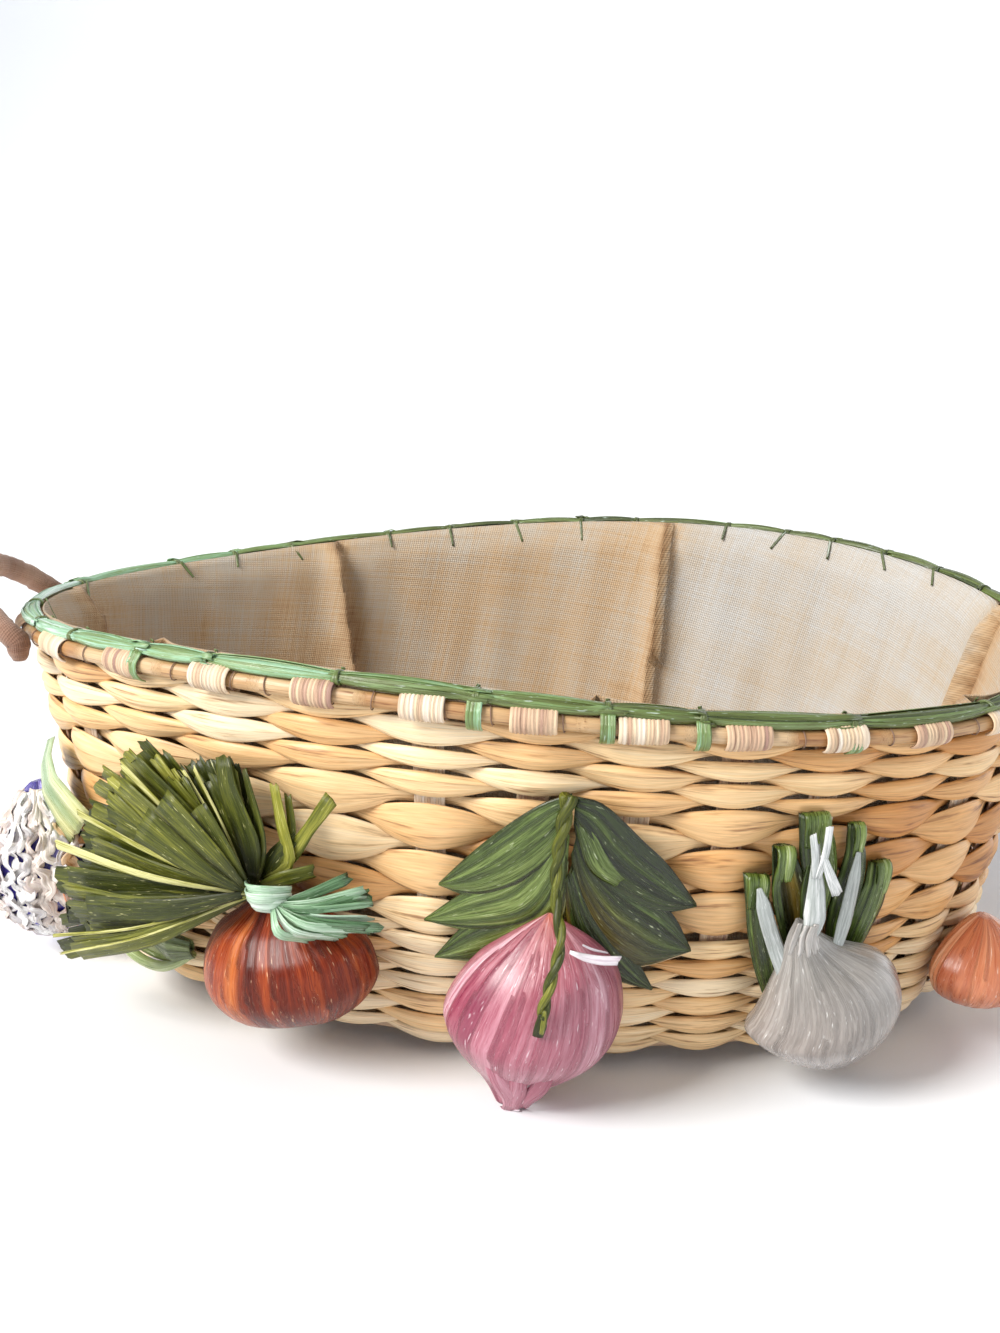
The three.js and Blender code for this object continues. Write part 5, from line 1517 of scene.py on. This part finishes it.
def side_leaf():
    """A pale leaf beside the violet bulb that turns yellow towards its ragged end."""
    work = Work()
    rows = np.linspace(0, 1, LEAF_ROWS)[:, None]
    cols = np.linspace(0, 1, LEAF_COLUMNS)[None]
    leaf(work, VIOLET.hug, [(11, 62), (24, 57), (36, 48), (46, 36)],
         [(1, 57), (1, 39), (7, 20), (17, 6)],
         [4, 10, 13, 11, 8], 0.5, 52, crown=2.4, strips=9, cut=4.0, spread=0.2,
         kind=np.clip(rows * 1.5 - 0.7 + 0.3 * np.sin(14 * cols), 0, 1))
    work.make("pale_side_leaf", celadon, "leaf_raffia", "side_leaf")


def base_mat():
    """The bottom is an oval mat of twisted rope: closed laps of it round a straight core."""
    work = Work()
    laps, spacing, size, centre_up = 12, 8.3, 4.1, 4.3
    edge_inset, core_reach, core_size = 3.0, 76, 4.0
    step, ply_length = 4.2, 30
    angle = 2 * math.pi * np.arange(16) / 16
    for lap in range(laps):
        inset = edge_inset + spacing * lap
        long, wide = FOOT_LENGTH - inset, FOOT_WIDTH - inset
        count = max(60, int(2 * math.pi * math.sqrt((long ** 2 + wide ** 2) / 2) / step))
        turn = np.linspace(0, 2 * math.pi, count, endpoint=False)
        x, y = long * np.cos(turn), wide * np.sin(turn)
        length = np.append(0, np.cumsum(np.hypot(*(np.roll(np.stack([x, y]), -1, 1) - [x, y]))))
        plies = max(2, round(length[-1] / ply_length))
        nx, ny = np.cos(turn) / long, np.sin(turn) / wide
        norm = np.hypot(nx, ny)
        twist = 2 * math.pi * plies * length[:-1] / length[-1]
        radius = size * (0.9 + 0.13 * np.cos(3 * angle[None] - twist[:, None]))
        out = radius * np.cos(angle)
        rings = np.stack([MIDDLE[0] + x[:, None] + out * (nx / norm)[:, None],
                          MIDDLE[1] + y[:, None] + out * (ny / norm)[:, None],
                          centre_up + radius * np.sin(angle)], -1)
        work.shell(rings, length + lap * 70, np.linspace(0, 33, 17), 0.3 + 0.06 * (lap % 4),
                   loop=True)
    core = np.linspace(-core_reach, core_reach, 60)[:, None] * [1, 0, 0] + MIDDLE + [0, 0, centre_up]
    tube(work, core, core_size, 0.3, sides=16)
    work.make("coiled_rope_mat", straw, "straw_weavers", "base_pad")


pink_onion()
lilac_strip()
frills()
side_leaf()
base_mat()
rosette()
stem_cord()
brown_onion()
onion_tuft()
aqua_bow()
pod()
garlic()
garlic_leaves()
sprouts()
gourd()
violet_body()


# The photograph's setting
BOWL_RADIUS = 7.0
BOWL_STEP = 0.25
WALL_RISE = 2.2
WINDOW_TOWARDS = Vector((0.68, 0.48, -0.62))
CAMERA_SPOT = np.array([83.003, -742.771, 357.295])
CAMERA_YAW, CAMERA_PITCH, CAMERA_ROLL = 0.130, 0.293, 0.032
FOCAL_PIXELS = 1700
PHOTO_HEIGHT_PIXELS = 1333
SENSOR_MM = 36


def matt_white():
    """Uncoated paper: an even matt white with the least of a cool cast."""
    material, _, shader = start("Matt white paper", 0.95, level=0.1)
    shader.inputs["Base Color"].default_value = colour("F3F6FA")
    return material


def backdrop():
    """A round white sheet under the basket that curves up into a wall far off all round."""
    bpy.ops.mesh.primitive_circle_add(
        vertices=128, radius=BOWL_RADIUS, fill_type="NGON", location=(0, 0, 0))
    floor = bpy.context.object
    floor.name = "pale_floor"
    bpy.ops.object.mode_set(mode="EDIT")
    bpy.ops.mesh.select_all(action="DESELECT")
    bpy.ops.object.mode_set(mode="OBJECT")
    for edge in floor.data.edges:
        edge.select = True
    bpy.ops.object.mode_set(mode="EDIT")
    radius = BOWL_RADIUS
    for step in range(10):
        tilt = math.radians(step * 10)
        grown = (radius + BOWL_STEP * math.cos(tilt)) / radius
        radius *= grown
        bpy.ops.mesh.extrude_edges_move(
            TRANSFORM_OT_translate={"value": (0, 0, BOWL_STEP * math.sin(tilt))})
        bpy.ops.transform.resize(value=(grown, grown, 1), center_override=(0, 0, 0))
    bpy.ops.mesh.extrude_edges_move(TRANSFORM_OT_translate={"value": (0, 0, WALL_RISE)})
    bpy.ops.mesh.select_all(action="SELECT")
    bpy.ops.mesh.normals_make_consistent(inside=False)
    bpy.ops.object.mode_set(mode="OBJECT")
    bpy.ops.object.shade_smooth()
    floor.select_set(False)
    floor.data.materials.append(matt_white())


def light():
    """A broad soft window to the left of the camera, in an even white room."""
    world = bpy.data.worlds.new("Pale studio")
    bpy.context.scene.world = world
    world.use_nodes = True
    sky = world.node_tree.nodes["Background"]
    sky.inputs["Color"].default_value = colour("FAFAFC")
    sky.inputs["Strength"].default_value = 0.5
    sun = bpy.data.lights.new("window", "SUN")
    sun.energy = 4.2
    sun.angle = math.radians(30)
    sun.color = colour("FFFCF7")[:3]
    window = bpy.data.objects.new("window", sun)
    bpy.context.collection.objects.link(window)
    window.rotation_euler = WINDOW_TOWARDS.to_track_quat("-Z", "Y").to_euler()


def photo_camera():
    """The camera stands where the photograph's did, turned, tipped and rolled alike."""
    level = np.array([math.cos(CAMERA_YAW), math.sin(CAMERA_YAW), 0])
    flat = np.array([-math.sin(CAMERA_YAW), math.cos(CAMERA_YAW), 0])
    z = np.array([0, 0, 1.0])
    ahead = flat * math.cos(CAMERA_PITCH) - z * math.sin(CAMERA_PITCH)
    up = flat * math.sin(CAMERA_PITCH) + z * math.cos(CAMERA_PITCH)
    right = level * math.cos(CAMERA_ROLL) + up * math.sin(CAMERA_ROLL)
    over = -level * math.sin(CAMERA_ROLL) + up * math.cos(CAMERA_ROLL)
    spot = (CAMERA_SPOT + MIDDLE) * MM
    camera = bpy.data.cameras.new("Photo camera")
    camera.lens = FOCAL_PIXELS * SENSOR_MM / PHOTO_HEIGHT_PIXELS
    camera.sensor_width = SENSOR_MM
    camera.clip_start = 0.01
    body = bpy.data.objects.new("Photo camera", camera)
    bpy.context.collection.objects.link(body)
    body.matrix_world = Matrix([
        *([right[k], over[k], -ahead[k], spot[k]] for k in range(3)),
        [0, 0, 0, 1],
    ])
    bpy.context.scene.camera = body


bpy.context.scene.view_settings.view_transform = "Standard"
backdrop()
light()
photo_camera()
